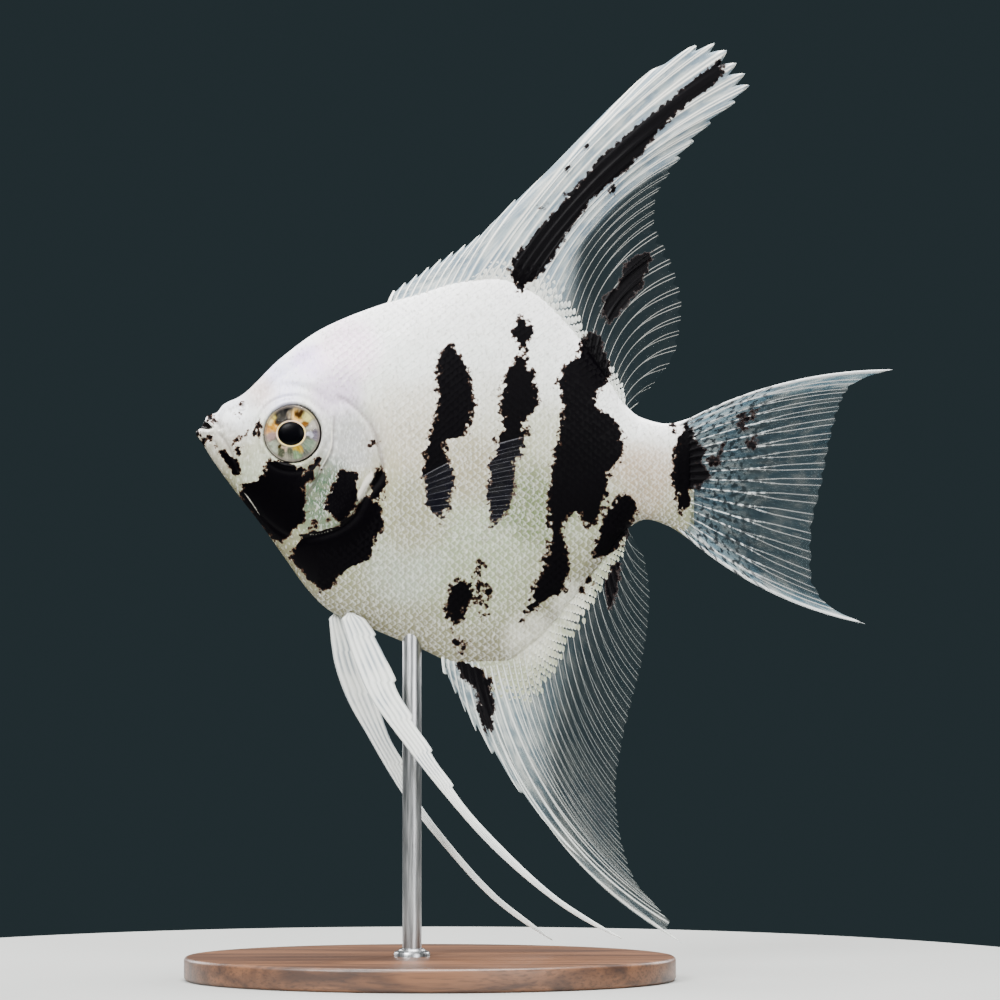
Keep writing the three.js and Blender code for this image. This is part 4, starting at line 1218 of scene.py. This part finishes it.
# ---------------------------------------------------------------------------------------------
# The feelers: the long pelvic fins, each one a stiff white blade of a few rays lying close
# together, thick at its root under the throat and drawn out to a thread.
# ---------------------------------------------------------------------------------------------
FEELERS = {
    "left": [
        (61.25, -15, -11.5), (54, -12.75, -7.5), (48, -10.25, -5.25), (40.25, -4.75, -1),
        (30.25, 3.25, 5.25), (22.5, 10.25, 12.25), (14.5, 19.5, 21), (10.5, 25.5, 27), (7.5, 31.5, 32),
    ],
    "right": [
        (61.25, -17, -14.25), (54, -16.25, -11.5), (48, -14.5, -9.5), (40, -10.25, -6.75),
        (30, -4.25, -2.25), (21.75, 2.25, 3.75), (13.5, 9.75, 11.25), (9.5, 14.75, 16.25),
        (6, 20.25, 20.75),
    ],
}
FEELER_BARBS = {
    "left": [57.5, 50, 44, 38.5, 32.75],
    "right": [55, 48, 36, 33.5],
}
FEELER_AROUND = 40
FEELER_ROWS = 150
FEELER_ROOT_OUT = 1.9
FEELER_SPLAY = 6.5
FEELER_HALF = (0.72, 0.16)
FEELER_RAYS = 5


def feeler_piece(name, side, rows, barbs):
    """A blade: at each height it runs from its front edge to its rear edge, ribbed along."""
    top, foot = rows[0][0], rows[-1][0]
    piece, column, row = grid_piece(name, FEELER_AROUND + 1, FEELER_ROWS)
    out = row / (FEELER_ROWS - 1)
    z = top - (top - foot) * out
    ordered = np.array(sorted(rows))
    front, rear = (line_through(ordered[:, [0, axis]], z) for axis in (1, 2))
    for barb in barbs:
        rear = rear + 0.5 * smooth(barb + 4.5, barb, z) * smooth(barb - 0.25, barb, z)
    angle = column / FEELER_AROUND * 2 * math.pi
    across = -np.cos(angle)
    close = smooth(0, 0.02, out) * smooth(1, 0.996, out)
    x = (front + rear) / 2 + (rear - front) / 2 * across * (0.3 + 0.7 * close)
    half = FEELER_HALF[0] + (FEELER_HALF[1] - FEELER_HALF[0]) * out**0.8
    ribs = 1 + 0.22 * np.cos(across * FEELER_RAYS * math.pi) * np.abs(np.sin(angle))
    spread = np.sin(out * math.pi / 2)
    y = side * (FEELER_ROOT_OUT + FEELER_SPLAY * spread) + half * ribs * np.sin(angle) * close
    move_points(piece, x, y, z)
    note(piece, "ray", 0.5 + 0.5 * np.cos(across * FEELER_RAYS * math.pi))
    note(piece, "web", np.full(x.shape, 1.5))
    note(piece, "bone", np.ones(x.shape))
    note(piece, "file", across * FEELER_RAYS)
    note(piece, "out", out)
    note(piece, "mark", np.full(x.shape, -9.0))
    seal(piece)
    return piece


feeler_skin = sail_finish("feeler_web", (rgb(150, 160, 166), rgb(196, 200, 196)), rgb(246, 248, 242))
for side, side_name in ((-1, "left"), (1, "right")):
    feeler = feeler_piece("feeler_" + side_name, side, FEELERS[side_name], FEELER_BARBS[side_name])
    dress(feeler, feeler_skin, "fin", "pelvic_fin_" + side_name)


# ---------------------------------------------------------------------------------------------
# The paddles: the pectoral fins behind the gill covers, a small round web on soft rays so thin
# that the flank's marks show through it. Each stands on a fleshy root and is held off the side.
# ---------------------------------------------------------------------------------------------
PADDLE = {
    "rays": 12,
    "roots": [(-6.4, 80.6), (-6.6, 78.4), (-5.8, 75.8)],
    "edge": [
        (0, 15.4, 90.4, 0.05), (3, 18, 86, 0.03), (6, 17.8, 81, 0), (9, 15, 76.2, -0.03),
        (11, 10.5, 73.4, -0.05),
    ],
    "notch": [(0, 0.02), (11, 0.02)],
    "spines": 1,
    "sway": 0,
    "splits": ((0.3, 0.6, 0.2), (0.6, 0.9, 0.0)),
    "thick": [(0, 0.1), (11, 0.1)],
    "milk": [(0, 0.014), (11, 0.012)],
    "tip_milk": [(0, 0.006), (11, 0.006)],
    "bone": [(0, 0.09), (11, 0.08)],
    "tip_bone": [(0, 0.07), (11, 0.06)],
    "clears": (0.05, 0.3),
}
PADDLE_OUT = 7.1
PADDLE_RISE = 5.2

paddle_skin = sail_finish("paddle_web", (rgb(120, 126, 170), rgb(150, 156, 176)), rgb(190, 190, 196))
for side, side_name in ((-1, "left"), (1, "right")):
    paddle = sail_piece(
        "paddle_" + side_name, PADDLE, deep=(0.3, 0.06), ridge_up=(0.1, 0.07), marked=False,
        stand=lambda out: side * (PADDLE_OUT - 1.1 * (1 - smooth(0, 0.15, out)) + PADDLE_RISE * out),
    )
    dress(paddle, paddle_skin, "fin", "pectoral_fin_" + side_name)


# ---------------------------------------------------------------------------------------------
# The stand: an oval plinth of oiled walnut with a rounded edge, and a brushed steel post let
# into it through a turned collar. The post goes up into the fish's belly.
# ---------------------------------------------------------------------------------------------
PLINTH_LONG, PLINTH_DEEP, PLINTH_TALL = 41, 28, 4
PLINTH_EDGE = 0.7
POST_X, POST_RADIUS, POST_TOP = -3, 1.6, 62
COLLAR_RADIUS, COLLAR_TALL = 3.0, 1.3

bpy.ops.object.select_all(action="DESELECT")
bpy.ops.mesh.primitive_cylinder_add(
    vertices=192, radius=PLINTH_LONG * MM, depth=PLINTH_TALL * MM, location=(0, 0, PLINTH_TALL / 2 * MM)
)
plinth = bpy.context.object
plinth.name = plinth.data.name = "stand_plinth"
bpy.ops.object.transform_apply(location=True, rotation=True, scale=True)
bpy.ops.object.mode_set(mode="EDIT")
bpy.ops.mesh.select_all(action="SELECT")
bpy.ops.transform.resize(value=(1, PLINTH_DEEP / PLINTH_LONG, 1))
bpy.ops.object.mode_set(mode="OBJECT")
rounding = plinth.modifiers.new("rounded edge", "BEVEL")
rounding.width = PLINTH_EDGE * MM
rounding.segments = 5
rounding.limit_method = "ANGLE"
bpy.ops.object.modifier_apply(modifier=rounding.name)
bpy.ops.object.shade_smooth_by_angle(angle=math.radians(40))
walnut, walnut_shader, wires = finish_of("oiled_walnut", Coat_Weight=0.2, Coat_Roughness=0.25)
here = wires.here()
plank = here.stretched((0.09, 1.0, 1.0))
rings = wires.noise(plank, 230.0, 6.0, Distortion=0.8)
fibre = wires.noise(here.stretched((0.03, 1.0, 1.0)), 2600.0)
wood = rings.step(0.32, 0.68).blend(rgb(58, 36, 24), rgb(112, 74, 48))
wood = (0.5 * fibre.step(0.45, 0.7)).blend(wood, rgb(40, 24, 16))
wood.feed(walnut_shader, "Base Color")
(0.38 + 0.2 * fibre).feed(walnut_shader, "Roughness")
fibre.emboss(walnut_shader, 0.2)
dress(plinth, walnut, "stand_wood", "stand_base")


def lathe_piece(name, profile, x, sides=64):
    """A round piece on an upright axis, from a profile of (radius, height) in mm."""
    piece, across, deep, up = turned_piece(name, profile, sides)
    move_points(piece, x + across, deep, up)
    seal(piece)
    bpy.ops.object.shade_smooth_by_angle(angle=math.radians(35))
    return piece


steel, steel_shader, wires = finish_of("brushed_steel", Metallic=1.0)
brush = wires.noise(wires.here().stretched((1.0, 1.0, 0.04)), 4200.0, 3.0)
brush.step(0.3, 0.7).blend(rgb(150, 152, 154), rgb(196, 197, 198)).feed(steel_shader, "Base Color")
(0.26 + 0.16 * brush).feed(steel_shader, "Roughness")
post = lathe_piece("stand_post", [
    (0, 1.6), (POST_RADIUS, 1.6), (POST_RADIUS, 12), (POST_RADIUS, 30), (POST_RADIUS, POST_TOP - 1),
    (POST_RADIUS - 0.3, POST_TOP - 0.3), (0, POST_TOP),
], POST_X)
dress(post, steel, "stand_steel", "stand_rod")
collar = lathe_piece("stand_collar", [
    (0, PLINTH_TALL - 0.4), (COLLAR_RADIUS, PLINTH_TALL - 0.4), (COLLAR_RADIUS, PLINTH_TALL + 0.5),
    (COLLAR_RADIUS - 0.12, PLINTH_TALL + 0.72), (COLLAR_RADIUS - 0.4, PLINTH_TALL + 0.85),
    (COLLAR_RADIUS - 0.75, PLINTH_TALL + 0.95), (COLLAR_RADIUS - 0.95, PLINTH_TALL + COLLAR_TALL - 0.1),
    (COLLAR_RADIUS - 1.15, PLINTH_TALL + COLLAR_TALL), (0, PLINTH_TALL + COLLAR_TALL),
], POST_X)
dress(collar, steel, "stand_steel")
